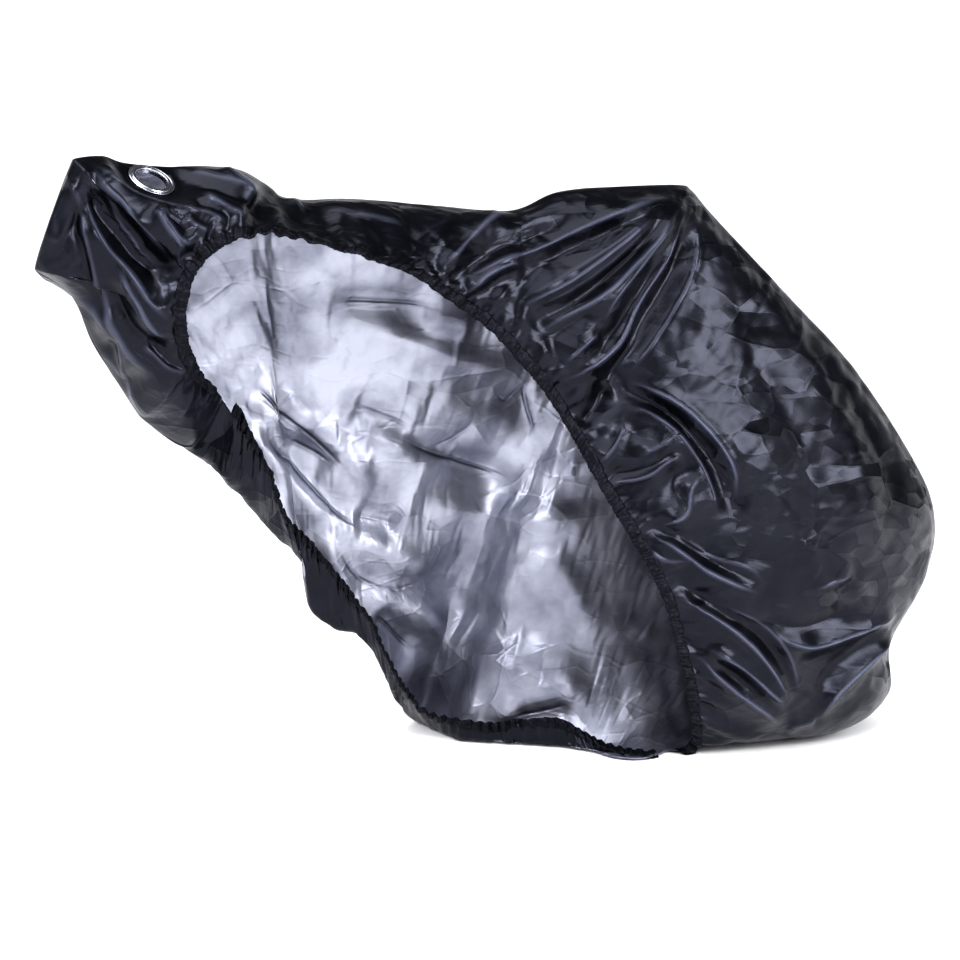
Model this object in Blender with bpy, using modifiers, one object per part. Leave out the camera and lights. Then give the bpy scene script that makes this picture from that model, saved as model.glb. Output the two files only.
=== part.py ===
"""Bicycle cover, in the shape in which it hangs in use. Metres, +Z up.

+X runs to the rear, -Y is the side that is lifted open, and the origin is the point
under the top of the cover where it is held up. Two side panels meet in a seam
over the top. Each section below is a rib of the cover: it runs from the open side's hem
over the seam to the far side's hem. The panels are lofted through the ribs.
"""

import bpy
import bmesh
import numpy as np
from mathutils import Vector

# Driving sizes
REST_HEIGHT = 0.920          # floor to the point where the cover is held up
CLOTH = 0.002                # thickness of the coated cloth
SEAM_GAP = 0.0004            # between the two side panels
FIT_GAP = 0.0003             # between the eyelet's pieces and the cloth

STATIONS = 90                # ribs that the panels are lofted through
NEAR_ROWS = 19               # points down each rib, seam to hem, open side
FAR_ROWS = 23                # points down each rib, seam to hem, far side

# Shape of a rib between the points that the tables give
SHOULDER = 0.75              # a shoulder lies this share of the ridge's width out and down
SHORT_RIDGE = 0.3            # the ridge takes at most this share of the open side's drop
WALL_UPPER = 0.33            # places of the far wall's points, from shoulder to belly
WALL_LOWER = 0.72
WALL_LOWER_OUT = 0.75        # the lower point stands out this share of the upper one's

# How folds fade out
FOLD_STEPS = 24              # straight steps that a fold's smooth line is measured with
FOLD_END = 0.08              # share of a fold's length that it still runs past its ends
FOLD_FADE = 4.0              # steepness of the fade towards the ends
SEAM_FADE_ROWS = 3.0
HEM_FADE_ROWS = 1.5

# Lock eyelet: a plated ring pressed through the cloth near the front peak
EYELET_CENTRE = (-0.717, -0.093, 0.911)
EYELET_NORMAL = (0.258, -0.584, 0.763)
EYELET_OUTER_RADIUS = 0.033
EYELET_HOLE_RADIUS = 0.021
WASHER_RADIUS = 0.029
EYELET_WALL = 0.0012
FLANGE_HEIGHT = 0.0022
FLANGE_ROUND = 0.0025        # width of the rolled edge
RING_STEPS = 40              # straight sides of the turned rings
PATCH_RADIUS = 0.031
CUTTER_DEPTH = 0.030
FLAT_RADIUS = 0.044          # the cloth is pressed flat this far from the eyelet's axis
FLAT_BLEND = 0.040
CLOSER_AT_EYELET = 3.0       # times as many stations next to the eyelet

# The seam over the top: place above the floor, and how wide the ridge is rounded there
SEAM = (
    # section          x       y      z      ridge
    ("front_crossing", -0.607,  0.030, 0.606, 0.010),
    ("nose_under",     -0.655,  0.030, 0.535, 0.015),
    ("nose_bottom",    -0.728,  0.000, 0.585, 0.015),
    ("nose_front",     -0.795, -0.050, 0.690, 0.015),
    ("lever_under",    -0.825, -0.090, 0.758, 0.012),
    ("lever",          -0.872, -0.115, 0.792, 0.012),
    ("hood_front",     -0.855, -0.140, 0.850, 0.015),
    ("hood",           -0.822, -0.140, 0.932, 0.015),
    ("bar_front",      -0.775, -0.095, 0.941, 0.020),
    ("eyelet",         -0.718, -0.065, 0.931, 0.020),
    ("bar_top",        -0.600, -0.020, 0.935, 0.030),
    ("bar_rear",       -0.548, -0.005, 0.917, 0.025),
    ("stem_dip",       -0.515,  0.000, 0.893, 0.020),
    ("top_front",      -0.427,  0.000, 0.896, 0.020),
    ("top_middle",     -0.296,  0.000, 0.890, 0.020),
    ("saddle_dip",     -0.172,  0.000, 0.884, 0.025),
    ("saddle_nose",    -0.087,  0.000, 0.915, 0.035),
    ("saddle",          0.030,  0.000, 0.926, 0.050),
    ("saddle_rear",     0.115,  0.000, 0.930, 0.055),
    ("peak",            0.138,  0.000, 0.922, 0.050),
    ("below_peak",      0.180,  0.000, 0.882, 0.035),
    ("tail_upper",      0.315,  0.000, 0.760, 0.030),
    ("tail_middle",     0.465,  0.000, 0.620, 0.030),
    ("tail",            0.615,  0.000, 0.412, 0.035),
    ("tail_low",        0.616,  0.000, 0.275, 0.035),
    ("tail_waist",      0.549,  0.000, 0.155, 0.030),
    ("tail_foot",       0.548,  0.000, 0.062, 0.030),
    ("floor_rear",      0.455,  0.000, 0.006, 0.020),
    ("floor_middle",    0.255,  0.005, 0.005, 0.015),
    ("rear_crossing",   0.120, -0.008, 0.004, 0.010),
)

# The open side's hem, and how far the cloth bulges out between seam and hem
NEAR_HEM = (
    # section          x       y      z      bulge
    ("front_crossing", -0.626,  0.000, 0.626, 0.000),
    ("nose_under",     -0.644, -0.030, 0.645, 0.015),
    ("nose_bottom",    -0.660, -0.070, 0.666, 0.030),
    ("nose_front",     -0.673, -0.100, 0.691, 0.030),
    ("lever_under",    -0.679, -0.120, 0.715, 0.015),
    ("lever",          -0.681, -0.130, 0.736, 0.005),
    ("hood_front",     -0.678, -0.140, 0.759, 0.000),
    ("hood",           -0.674, -0.150, 0.779, 0.000),
    ("bar_front",      -0.663, -0.150, 0.798, 0.008),
    ("eyelet",         -0.647, -0.150, 0.815, 0.018),
    ("bar_top",        -0.619, -0.145, 0.831, 0.020),
    ("bar_rear",       -0.595, -0.142, 0.837, 0.012),
    ("stem_dip",       -0.570, -0.140, 0.842, 0.008),
    ("top_front",      -0.503, -0.160, 0.829, 0.004),
    ("top_middle",     -0.423, -0.150, 0.806, 0.004),
    ("saddle_dip",     -0.358, -0.110, 0.788, 0.005),
    ("saddle_nose",    -0.295, -0.080, 0.753, 0.008),
    ("saddle",         -0.233, -0.070, 0.714, 0.010),
    ("saddle_rear",    -0.185, -0.070, 0.668, 0.015),
    ("peak",           -0.136, -0.070, 0.613, 0.020),
    ("below_peak",     -0.094, -0.070, 0.551, 0.030),
    ("tail_upper",     -0.055, -0.090, 0.474, 0.045),
    ("tail_middle",    -0.014, -0.115, 0.397, 0.055),
    ("tail",            0.026, -0.120, 0.332, 0.060),
    ("tail_low",        0.055, -0.120, 0.270, 0.055),
    ("tail_waist",      0.081, -0.110, 0.196, 0.045),
    ("tail_foot",       0.109, -0.090, 0.128, 0.040),
    ("floor_rear",      0.126, -0.070, 0.078, 0.035),
    ("floor_middle",    0.145, -0.040, 0.033, 0.018),
    ("rear_crossing",   0.150, -0.010, 0.006, 0.000),
)

# The far side: where its cloth bellies out beyond the hem, the hem itself, and how far
# the wall between seam and belly stands out and is lifted
FAR_HEM = (
    # section          belly x  y     z      hem x   y      z      out    lift
    ("front_crossing", -0.588, 0.062, 0.580, -0.581, 0.060, 0.594, 0.000, 0.000),
    ("nose_under",     -0.597, 0.100, 0.492, -0.569, 0.070, 0.578, 0.000, 0.000),
    ("nose_bottom",    -0.587, 0.120, 0.472, -0.563, 0.075, 0.562, 0.010, 0.010),
    ("nose_front",     -0.572, 0.140, 0.455, -0.556, 0.080, 0.548, 0.025, 0.030),
    ("lever_under",    -0.555, 0.150, 0.440, -0.549, 0.085, 0.533, 0.045, 0.050),
    ("lever",          -0.542, 0.155, 0.424, -0.542, 0.090, 0.518, 0.070, 0.080),
    ("hood_front",     -0.528, 0.160, 0.406, -0.536, 0.090, 0.504, 0.080, 0.060),
    ("hood",           -0.513, 0.158, 0.386, -0.527, 0.095, 0.488, 0.085, 0.030),
    ("bar_front",      -0.495, 0.155, 0.362, -0.519, 0.100, 0.466, 0.085, 0.020),
    ("eyelet",         -0.480, 0.150, 0.349, -0.512, 0.100, 0.440, 0.085, 0.010),
    ("bar_top",        -0.461, 0.150, 0.320, -0.494, 0.110, 0.406, 0.080, 0.000),
    ("bar_rear",       -0.455, 0.165, 0.283, -0.476, 0.115, 0.388, 0.075, 0.000),
    ("stem_dip",       -0.443, 0.175, 0.243, -0.458, 0.120, 0.370, 0.070, 0.000),
    ("top_front",      -0.407, 0.180, 0.211, -0.431, 0.130, 0.334, 0.065, 0.000),
    ("top_middle",     -0.362, 0.185, 0.192, -0.391, 0.140, 0.281, 0.065, 0.000),
    ("saddle_dip",     -0.322, 0.205, 0.140, -0.351, 0.150, 0.232, 0.060, 0.000),
    ("saddle_nose",    -0.282, 0.240, 0.062, -0.312, 0.170, 0.158, 0.055, 0.000),
    ("saddle",         -0.235, 0.285, 0.006, -0.280, 0.190, 0.095, 0.045, 0.000),
    ("saddle_rear",    -0.215, 0.230, 0.002, -0.244, 0.180, 0.052, 0.045, 0.000),
    ("peak",           -0.196, 0.165, 0.002, -0.197, 0.150, 0.042, 0.050, 0.000),
    ("below_peak",     -0.130, 0.120, 0.002, -0.139, 0.120, 0.038, 0.060, 0.000),
    ("tail_upper",     -0.064, 0.085, 0.002, -0.075, 0.085, 0.052, 0.075, 0.000),
    ("tail_middle",    -0.030, 0.060, 0.002, -0.040, 0.075, 0.048, 0.085, 0.000),
    ("tail",            0.000, 0.030, 0.002, -0.005, 0.055, 0.028, 0.090, 0.000),
    ("tail_low",        0.015, 0.005, 0.002,  0.020, 0.035, 0.015, 0.090, 0.000),
    ("tail_waist",      0.030, -0.010, 0.002, 0.038, 0.018, 0.010, 0.080, 0.000),
    ("tail_foot",       0.045, -0.018, 0.002, 0.050, 0.004, 0.010, 0.070, 0.000),
    ("floor_rear",      0.060, -0.022, 0.002, 0.062, -0.006, 0.010, 0.050, 0.000),
    ("floor_middle",    0.075, -0.020, 0.002, 0.078, -0.012, 0.008, 0.020, 0.000),
    ("rear_crossing",   0.092, -0.016, 0.003, 0.090, -0.010, 0.008, 0.000, 0.000),
)

# Main folds, drawn in the side view. Width is from crest to foot. A height above zero is
# a ridge on the outside of the cloth, and one below zero is a trough.
FOLDS = (
    # name             side    width  height  points (x, z)
    ("nose_valley_a",  "near", 0.016, -0.010, ((-0.815, 0.860), (-0.800, 0.770), (-0.765, 0.690))),
    ("nose_valley_1",  "near", 0.018, -0.014, ((-0.805, 0.900), (-0.770, 0.832), (-0.706, 0.749))),
    ("nose_valley_2",  "near", 0.014, -0.010, ((-0.793, 0.912), (-0.755, 0.850), (-0.699, 0.784))),
    ("nose_ridge_1",   "near", 0.014,  0.007, ((-0.800, 0.916), (-0.757, 0.848), (-0.716, 0.782))),
    ("nose_ridge_a",   "near", 0.018,  0.007, ((-0.807, 0.830), (-0.785, 0.745), (-0.721, 0.646))),
    ("nose_ledge",     "near", 0.022, -0.008, ((-0.752, 0.868), (-0.705, 0.842), (-0.655, 0.838))),
    ("saddle_fold_1",  "near", 0.022,  0.010, ((0.080, 0.912), (-0.060, 0.868), (-0.200, 0.810))),
    ("saddle_valley",  "near", 0.020, -0.009, ((0.060, 0.890), (-0.060, 0.830), (-0.190, 0.755))),
    ("saddle_fold_2",  "near", 0.022,  0.009, ((0.055, 0.880), (-0.060, 0.800), (-0.165, 0.705))),
    ("saddle_fold_3",  "near", 0.024,  0.010, ((0.073, 0.890), (-0.010, 0.800), (-0.079, 0.660))),
    ("saddle_trough",  "near", 0.028, -0.020, ((0.092, 0.905), (0.050, 0.745), (-0.040, 0.590))),
    ("stay_crease",    "near", 0.028, -0.010, ((-0.050, 0.600), (0.060, 0.535), (0.175, 0.380))),
    ("wheel_fold_1",   "near", 0.020,  0.010, ((0.020, 0.365), (0.110, 0.335), (0.215, 0.293))),
    ("wheel_fold_2",   "near", 0.022,  0.011, ((0.045, 0.330), (0.160, 0.240), (0.275, 0.105))),
    ("wheel_valley",   "near", 0.020, -0.008, ((0.075, 0.270), (0.150, 0.205), (0.240, 0.130))),
    ("wheel_fold_3",   "near", 0.020,  0.009, ((0.100, 0.215), (0.180, 0.150), (0.265, 0.075))),
    ("tail_fold_1",    "near", 0.020,  0.009, ((0.500, 0.210), (0.400, 0.182), (0.290, 0.200))),
    ("tail_fold_2",    "near", 0.020,  0.009, ((0.500, 0.170), (0.425, 0.095), (0.330, 0.045))),
    ("tail_valley",    "near", 0.022, -0.008, ((0.500, 0.190), (0.410, 0.135), (0.300, 0.110))),
    ("panel_crease_1", "near", 0.035,  0.007, ((0.200, 0.700), (0.330, 0.560), (0.420, 0.360))),
    ("panel_crease_2", "near", 0.035, -0.007, ((0.150, 0.640), (0.260, 0.480), (0.330, 0.300))),
    ("far_fold_1",     "far",  0.028, -0.014, ((-0.550, 0.564), (-0.489, 0.486), (-0.346, 0.344))),
    ("far_valley_1",   "far",  0.026,  0.011, ((-0.520, 0.570), (-0.450, 0.490), (-0.350, 0.390))),
    ("far_fold_2",     "far",  0.030, -0.014, ((-0.535, 0.605), (-0.440, 0.500), (-0.329, 0.414))),
    ("far_valley_2",   "far",  0.028,  0.012, ((-0.490, 0.610), (-0.390, 0.540), (-0.290, 0.450))),
    ("far_shadow",     "far",  0.035,  0.012, ((-0.350, 0.715), (-0.220, 0.665), (-0.050, 0.625))),
    ("far_fold_3",     "far",  0.030, -0.010, ((-0.360, 0.640), (-0.200, 0.560), (-0.030, 0.560))),
    ("far_fold_4",     "far",  0.035, -0.010, ((-0.250, 0.420), (-0.120, 0.360), (0.060, 0.350))),
    ("far_fold_5",     "far",  0.030,  0.010, ((-0.330, 0.330), (-0.200, 0.290), (-0.060, 0.300))),
    ("far_pedal",      "far",  0.040,  0.012, ((-0.300, 0.240), (-0.230, 0.140), (-0.160, 0.060))),
)


def column(table, first, last):
    """Columns first..last of a table as an array, one row a section."""
    return np.array([row[first:last] for row in table], dtype=float)


def between_rows(values, places):
    """Smooth values between a table's rows, at fractional row numbers."""
    last = len(values) - 1
    row = np.minimum(places.astype(int), last - 1)
    f = (places - row)[:, None]
    a, b, c, d = (values[np.clip(row + k, 0, last)] for k in (-1, 0, 1, 2))
    return 0.5 * (2 * b + (c - a) * f + (2 * a - 5 * b + 4 * c - d) * f**2
                  + (3 * b - a - 3 * c + d) * f**3)


def even_places(count):
    """Fractional section numbers that space the stations evenly along the cover."""
    edges = (column(SEAM, 1, 4), column(NEAR_HEM, 1, 4), column(FAR_HEM, 4, 7))
    step = sum(np.linalg.norm(np.diff(edge, axis=0), axis=1) for edge in edges)
    at_eyelet = [row[0] for row in SEAM].index("eyelet")
    step[at_eyelet - 1:at_eyelet + 1] *= CLOSER_AT_EYELET
    along = np.concatenate(([0.0], np.cumsum(step)))
    return np.interp(np.linspace(0.0, along[-1], count), along, np.arange(len(along)))


def smooth_rib(points, fractions):
    """Points on a smooth curve through the given points, by share of its chord length."""
    chord = np.linalg.norm(np.diff(points, axis=0), axis=1)
    knots = np.concatenate(([0.0], np.cumsum(chord)))
    slope = np.diff(points, axis=0) / chord[:, None]
    tangent = np.empty_like(points)
    tangent[0], tangent[-1] = slope[0], slope[-1]
    share = (chord[1:] / (chord[:-1] + chord[1:]))[:, None]
    tangent[1:-1] = slope[:-1] * share + slope[1:] * (1.0 - share)
    at = fractions * knots[-1]
    span = np.clip(np.searchsorted(knots, at, side="right") - 1, 0, len(chord) - 1)
    length = chord[span][:, None]
    t = ((at - knots[span]) / chord[span])[:, None]
    return (points[span] * (1 + 2 * t) * (1 - t) ** 2 + tangent[span] * length * t * (1 - t) ** 2
            + points[span + 1] * t**2 * (3 - 2 * t) - tangent[span + 1] * length * t**2 * (1 - t))


def rib_points(seam, ridge, near_hem, bulge, belly, far_hem, wall):
    """The points that one rib runs through, from the open side's hem to the far hem,
    and the number of the one on the seam."""
    out_near, out_far = np.array((0.0, -1.0, 0.0)), np.array((0.0, 1.0, 0.0))
    drop_near = (near_hem - seam) / max(np.linalg.norm(near_hem - seam), 1e-6)
    drop_far = (belly - seam) / max(np.linalg.norm(belly - seam), 1e-6)
    ridge = SHOULDER * min(ridge, SHORT_RIDGE * np.linalg.norm(near_hem - seam))
    near_shoulder = seam + ridge * (out_near + drop_near)
    far_shoulder = seam + ridge * (out_far + drop_far)
    near_middle = 0.5 * (near_shoulder + near_hem) + bulge * out_near
    wall_upper = far_shoulder + WALL_UPPER * (belly - far_shoulder) + wall
    wall_lower = far_shoulder + WALL_LOWER * (belly - far_shoulder) + WALL_LOWER_OUT * wall
    points = (near_hem, near_middle, near_shoulder, seam, far_shoulder,
              wall_upper, wall_lower, belly, far_hem)
    return np.array(points), 3


def base_surface(stations, near_rows, far_rows):
    """The smooth outside of the cover as a grid, station by row, from the open side's
    hem over the seam to the far hem. Two rows lie on the seam, one for each panel."""
    places = even_places(stations)
    seam, ridge = between_rows(column(SEAM, 1, 4), places), between_rows(column(SEAM, 4, 5), places)
    near = between_rows(column(NEAR_HEM, 1, 5), places)
    far = between_rows(column(FAR_HEM, 1, 9), places)
    grid = []
    for i in range(stations):
        wall = np.array((0.0, far[i, 6], far[i, 7]))
        points, on_seam = rib_points(seam[i], ridge[i, 0], near[i, :3], near[i, 3],
                                     far[i, :3], far[i, 3:6], wall)
        chord = np.linalg.norm(np.diff(points, axis=0), axis=1)
        middle = chord[:on_seam].sum() / chord.sum()
        fractions = np.concatenate((np.linspace(0.0, middle, near_rows),
                                    np.linspace(middle, 1.0, far_rows)))
        grid.append(smooth_rib(points, fractions))
    grid = np.array(grid)
    grid[:, :, 2] = np.maximum(grid[:, :, 2], 0.0) - REST_HEIGHT
    return grid


def unit(vectors):
    return vectors / np.maximum(np.linalg.norm(vectors, axis=-1, keepdims=True), 1e-12)


def outward(grid, seam_row):
    """Unit normals of a grid, pointing out of the cover. On the seam both panels share
    the mean of their normals."""
    along = np.gradient(grid, axis=0)
    across = np.gradient(grid, axis=1)
    across[:, seam_row] = grid[:, seam_row] - grid[:, seam_row - 1]
    across[:, seam_row + 1] = grid[:, seam_row + 2] - grid[:, seam_row + 1]
    normal = unit(np.cross(along, across))
    mean = unit(normal[:, seam_row] + normal[:, seam_row + 1])
    normal[:, seam_row] = normal[:, seam_row + 1] = mean
    return normal


def open_seam(grid, normal, seam_row):
    """Draw the two panels apart along the seam, square to it."""
    along = unit(np.gradient(grid[:, seam_row], axis=0))
    apart = 0.5 * SEAM_GAP * unit(np.cross(normal[:, seam_row], along))
    grid[:, seam_row] -= apart
    grid[:, seam_row + 1] += apart
    return grid


def distance_to_line(x, z, line):
    """Distance in the side view from each point to a smooth line, and the share of the
    line's length at the nearest place."""
    path = smooth_rib(np.array(line, dtype=float), np.linspace(0.0, 1.0, FOLD_STEPS + 1))
    nearest = np.full(x.shape, np.inf)
    share = np.zeros(x.shape)
    for k in range(len(path) - 1):
        start, step = path[k], path[k + 1] - path[k]
        t = np.clip(((x - start[0]) * step[0] + (z - start[1]) * step[1]) / step.dot(step), 0, 1)
        distance = np.hypot(x - start[0] - t * step[0], z - start[1] - t * step[1])
        closer = distance < nearest
        nearest = np.where(closer, distance, nearest)
        share = np.where(closer, (k + t) / (len(path) - 1), share)
    return nearest, share


def fold_height(grid, side, folds):
    """How far the folds of one side lift the cloth at each point of the grid."""
    x, z = grid[:, :, 0], grid[:, :, 2] + REST_HEIGHT
    lift = np.zeros(x.shape)
    for _, fold_side, width, height, line in folds:
        if fold_side != side:
            continue
        distance, share = distance_to_line(x, z, line)
        from_end = FOLD_END + np.minimum(share, 1.0 - share)
        fade = np.clip(FOLD_FADE * from_end, 0.0, 1.0)
        lift += height * fade * np.exp(-(distance / width) ** 2)
    return lift


def press_flat(grid, near_rows):
    """Lay the open side's cloth round the eyelet in the eyelet's plane. On the far side
    only what stands above that plane is pressed down to it."""
    centre = np.array(EYELET_CENTRE) - (0.0, 0.0, REST_HEIGHT)
    normal = np.array(Vector(EYELET_NORMAL).normalized())
    offset = grid - centre
    above = offset @ normal
    away = np.linalg.norm(offset - above[:, :, None] * normal, axis=2)
    blend = np.clip((FLAT_RADIUS + FLAT_BLEND - away) / FLAT_BLEND, 0.0, 1.0)
    blend = blend * blend * (3.0 - 2.0 * blend)
    beyond_seam = np.arange(grid.shape[1]) > near_rows
    above = np.where(beyond_seam, np.maximum(above, 0.0), above)
    return grid - (blend * above)[:, :, None] * normal


def cover_surface(stations, near_rows, far_rows, folds):
    """The outside of the cover with its folds, and its normals."""
    grid = base_surface(stations, near_rows, far_rows)
    seam_row = near_rows - 1
    normal = outward(grid, seam_row)
    rows = np.arange(grid.shape[1])
    lift = np.where(rows < near_rows, fold_height(grid, "near", folds),
                    fold_height(grid, "far", folds))
    from_seam = np.abs(rows - (seam_row + 0.5)) / SEAM_FADE_ROWS
    from_hem = np.minimum(rows, rows[-1] - rows) / HEM_FADE_ROWS
    lift = lift * np.clip(np.minimum(from_seam, from_hem), 0.0, 1.0)
    grid = grid + lift[:, :, None] * normal
    grid[:, :, 2] = np.maximum(grid[:, :, 2], -REST_HEIGHT)
    grid = press_flat(grid, near_rows)
    normal = outward(grid, seam_row)
    return open_seam(grid, normal, seam_row), normal


def material(name, colour, roughness, metallic):
    """A plain Principled material."""
    made = bpy.data.materials.new(name)
    made.use_nodes = True
    shader = made.node_tree.nodes["Principled BSDF"]
    shader.inputs["Base Color"].default_value = (*colour, 1.0)
    shader.inputs["Roughness"].default_value = roughness
    shader.inputs["Metallic"].default_value = metallic
    made.diffuse_color = (*colour, 1.0)
    return made


def add_object(name, mesh, collection, finish):
    """Link a mesh as a smooth shaded object with one material."""
    mesh.materials.append(finish)
    mesh.shade_smooth()
    made = bpy.data.objects.new(name, mesh)
    collection.objects.link(made)
    return made


def panel_mesh(name, outside, normal):
    """A closed sheet of the cloth's thickness inside a grid of points."""
    stations, rows = outside.shape[:2]
    inside = outside - CLOTH * normal
    below_floor = -REST_HEIGHT - np.minimum(outside[:, :, 2], inside[:, :, 2])
    lift = np.maximum(below_floor, 0.0)[:, :, None] * (0.0, 0.0, 1.0)
    outside, inside = outside + lift, inside + lift
    points = np.concatenate((outside.reshape(-1, 3), inside.reshape(-1, 3)))
    under = stations * rows
    faces = []
    for i in range(stations - 1):
        for j in range(rows - 1):
            a, b = i * rows + j, (i + 1) * rows + j
            faces.append((a, b, b + 1, a + 1))
            faces.append((under + a, under + a + 1, under + b + 1, under + b))
    rim = ([i * rows for i in range(stations - 1)]
           + [(stations - 1) * rows + j for j in range(rows - 1)]
           + [i * rows + rows - 1 for i in range(stations - 1, 0, -1)]
           + list(range(rows - 1, 0, -1)))
    for a, b in zip(rim, rim[1:] + rim[:1]):
        faces.append((b, a, under + a, under + b))
    mesh = bpy.data.meshes.new(name)
    mesh.from_pydata(points.tolist(), [], faces)
    mesh.validate()
    return mesh


def cylinder(name, radius, collection):
    """A cylinder on the eyelet's axis, to cut with."""
    mesh = bpy.data.meshes.new(name)
    shape = bmesh.new()
    bmesh.ops.create_cone(shape, cap_ends=True, segments=RING_STEPS, radius1=radius,
                          radius2=radius, depth=CUTTER_DEPTH)
    shape.to_mesh(mesh)
    shape.free()
    made = bpy.data.objects.new(name, mesh)
    made.matrix_world = eyelet_matrix()
    made.hide_render = True
    made.display_type = "WIRE"
    collection.objects.link(made)
    return made


def eyelet_matrix():
    """Places the eyelet's own axis, +Z out of the cloth, with the cloth's outside at 0."""
    turn = Vector(EYELET_NORMAL).normalized().to_track_quat("Z", "Y").to_matrix().to_4x4()
    turn.translation = Vector(EYELET_CENTRE) - Vector((0.0, 0.0, REST_HEIGHT))
    return turn


def cut(target, cutter, operation):
    """Add an exact Boolean of target with cutter."""
    step = target.modifiers.new(cutter.name, "BOOLEAN")
    step.operation = operation
    step.solver = "EXACT"
    step.object = cutter


def turned(name, profile, collection, finish):
    """A ring turned round the eyelet's axis from its closed profile of (radius, height)."""
    mesh = bpy.data.meshes.new(name)
    points = [(radius, 0.0, height) for radius, height in profile]
    edges = [(k, (k + 1) % len(points)) for k in range(len(points))]
    mesh.from_pydata(points, edges, [])
    made = add_object(name, mesh, collection, finish)
    made.matrix_world = eyelet_matrix()
    screw = made.modifiers.new("turn", "SCREW")
    screw.steps = screw.render_steps = RING_STEPS
    screw.use_merge_vertices = True
    screw.merge_threshold = 0.00001
    return made


def eyelet_profiles():
    """Closed profiles of the eyelet, with its barrel, and of the washer behind the cloth,
    both run down their outer side first."""
    hole, rim, gap = EYELET_HOLE_RADIUS, EYELET_OUTER_RADIUS, FIT_GAP
    barrel = hole + EYELET_WALL
    washer_top = -CLOTH - gap
    washer_back = washer_top - EYELET_WALL
    back = washer_back - gap
    eyelet = ((0.5 * (hole + rim), FLANGE_HEIGHT), (rim - FLANGE_ROUND, 0.75 * FLANGE_HEIGHT),
              (rim, gap), (barrel, gap), (barrel, back), (hole, back),
              (hole, 0.5 * FLANGE_HEIGHT), (hole + FLANGE_ROUND, 0.9 * FLANGE_HEIGHT))
    washer = ((WASHER_RADIUS, washer_top), (WASHER_RADIUS, washer_back),
              (barrel + gap, washer_back), (barrel + gap, washer_top))
    return eyelet, washer


def build():
    for old in list(bpy.data.objects):
        bpy.data.objects.remove(old, do_unlink=True)
    cover = bpy.data.collections.new("Bicycle cover")
    cutters = bpy.data.collections.new("Cutters")
    for collection in (cover, cutters):
        bpy.context.scene.collection.children.link(collection)

    cloth = material("black coated cloth", (0.012, 0.013, 0.020), 0.38, 0.0)
    far_cloth = material("silver coated cloth", (0.55, 0.56, 0.62), 0.35, 0.6)
    metal = material("plated metal", (0.80, 0.80, 0.82), 0.18, 1.0)

    surface, normal = cover_surface(STATIONS, NEAR_ROWS, FAR_ROWS, FOLDS)
    near = slice(0, NEAR_ROWS)
    far = slice(NEAR_ROWS, NEAR_ROWS + FAR_ROWS)
    left = add_object("left_panel", panel_mesh("left_panel", surface[:, near], normal[:, near]),
                      cover, cloth)
    patch = add_object("eyelet_patch", left.data.copy(), cover, cloth)
    add_object("right_panel", panel_mesh("right_panel", surface[:, far], normal[:, far]),
               cover, far_cloth)

    hole = cylinder("patch_hole", PATCH_RADIUS + FIT_GAP, cutters)
    disc = cylinder("patch_disc", PATCH_RADIUS, cutters)
    bore = cylinder("eyelet_bore", EYELET_HOLE_RADIUS + EYELET_WALL + FIT_GAP, cutters)
    cut(left, hole, "DIFFERENCE")
    cut(patch, disc, "INTERSECT")
    cut(patch, bore, "DIFFERENCE")

    eyelet, washer = eyelet_profiles()
    turned("eyelet", eyelet, cover, metal)
    turned("eyelet_washer", washer, cover, metal)


build()
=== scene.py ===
"""Bicycle cover, dressed: coated cloth with its folds and gathered hems, and the lock eyelet.

Metres, +Z up. +X runs to the rear, -Y is the side that is lifted open, and the origin is
the point under the top of the cover where it is held up.
"""

import functools

import bpy
import numpy as np
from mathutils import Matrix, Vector


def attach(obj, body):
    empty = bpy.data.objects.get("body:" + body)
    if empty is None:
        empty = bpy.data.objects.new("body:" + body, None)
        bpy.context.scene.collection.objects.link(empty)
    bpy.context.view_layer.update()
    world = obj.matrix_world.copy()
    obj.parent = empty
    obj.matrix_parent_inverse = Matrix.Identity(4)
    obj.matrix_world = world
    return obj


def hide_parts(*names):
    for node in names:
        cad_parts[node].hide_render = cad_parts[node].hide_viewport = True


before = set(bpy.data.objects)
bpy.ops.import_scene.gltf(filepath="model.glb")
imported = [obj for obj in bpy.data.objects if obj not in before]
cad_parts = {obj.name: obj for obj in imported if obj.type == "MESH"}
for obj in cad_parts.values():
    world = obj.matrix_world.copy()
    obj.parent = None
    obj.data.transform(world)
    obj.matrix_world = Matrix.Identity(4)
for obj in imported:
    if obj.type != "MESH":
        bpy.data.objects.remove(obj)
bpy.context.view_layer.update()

bl_info = {
    "name": "Bicycle cover",
    "version": (1, 0, 0),
    "blender": (4, 5, 0),
    "location": "3D View > Sidebar > Cover",
    "description": "Dresses a fitted bicycle cover: cloth, gathered hems and lock eyelet",
    "category": "Object",
}

FLOOR = 0.920                # the floor lies this far below the origin

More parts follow.
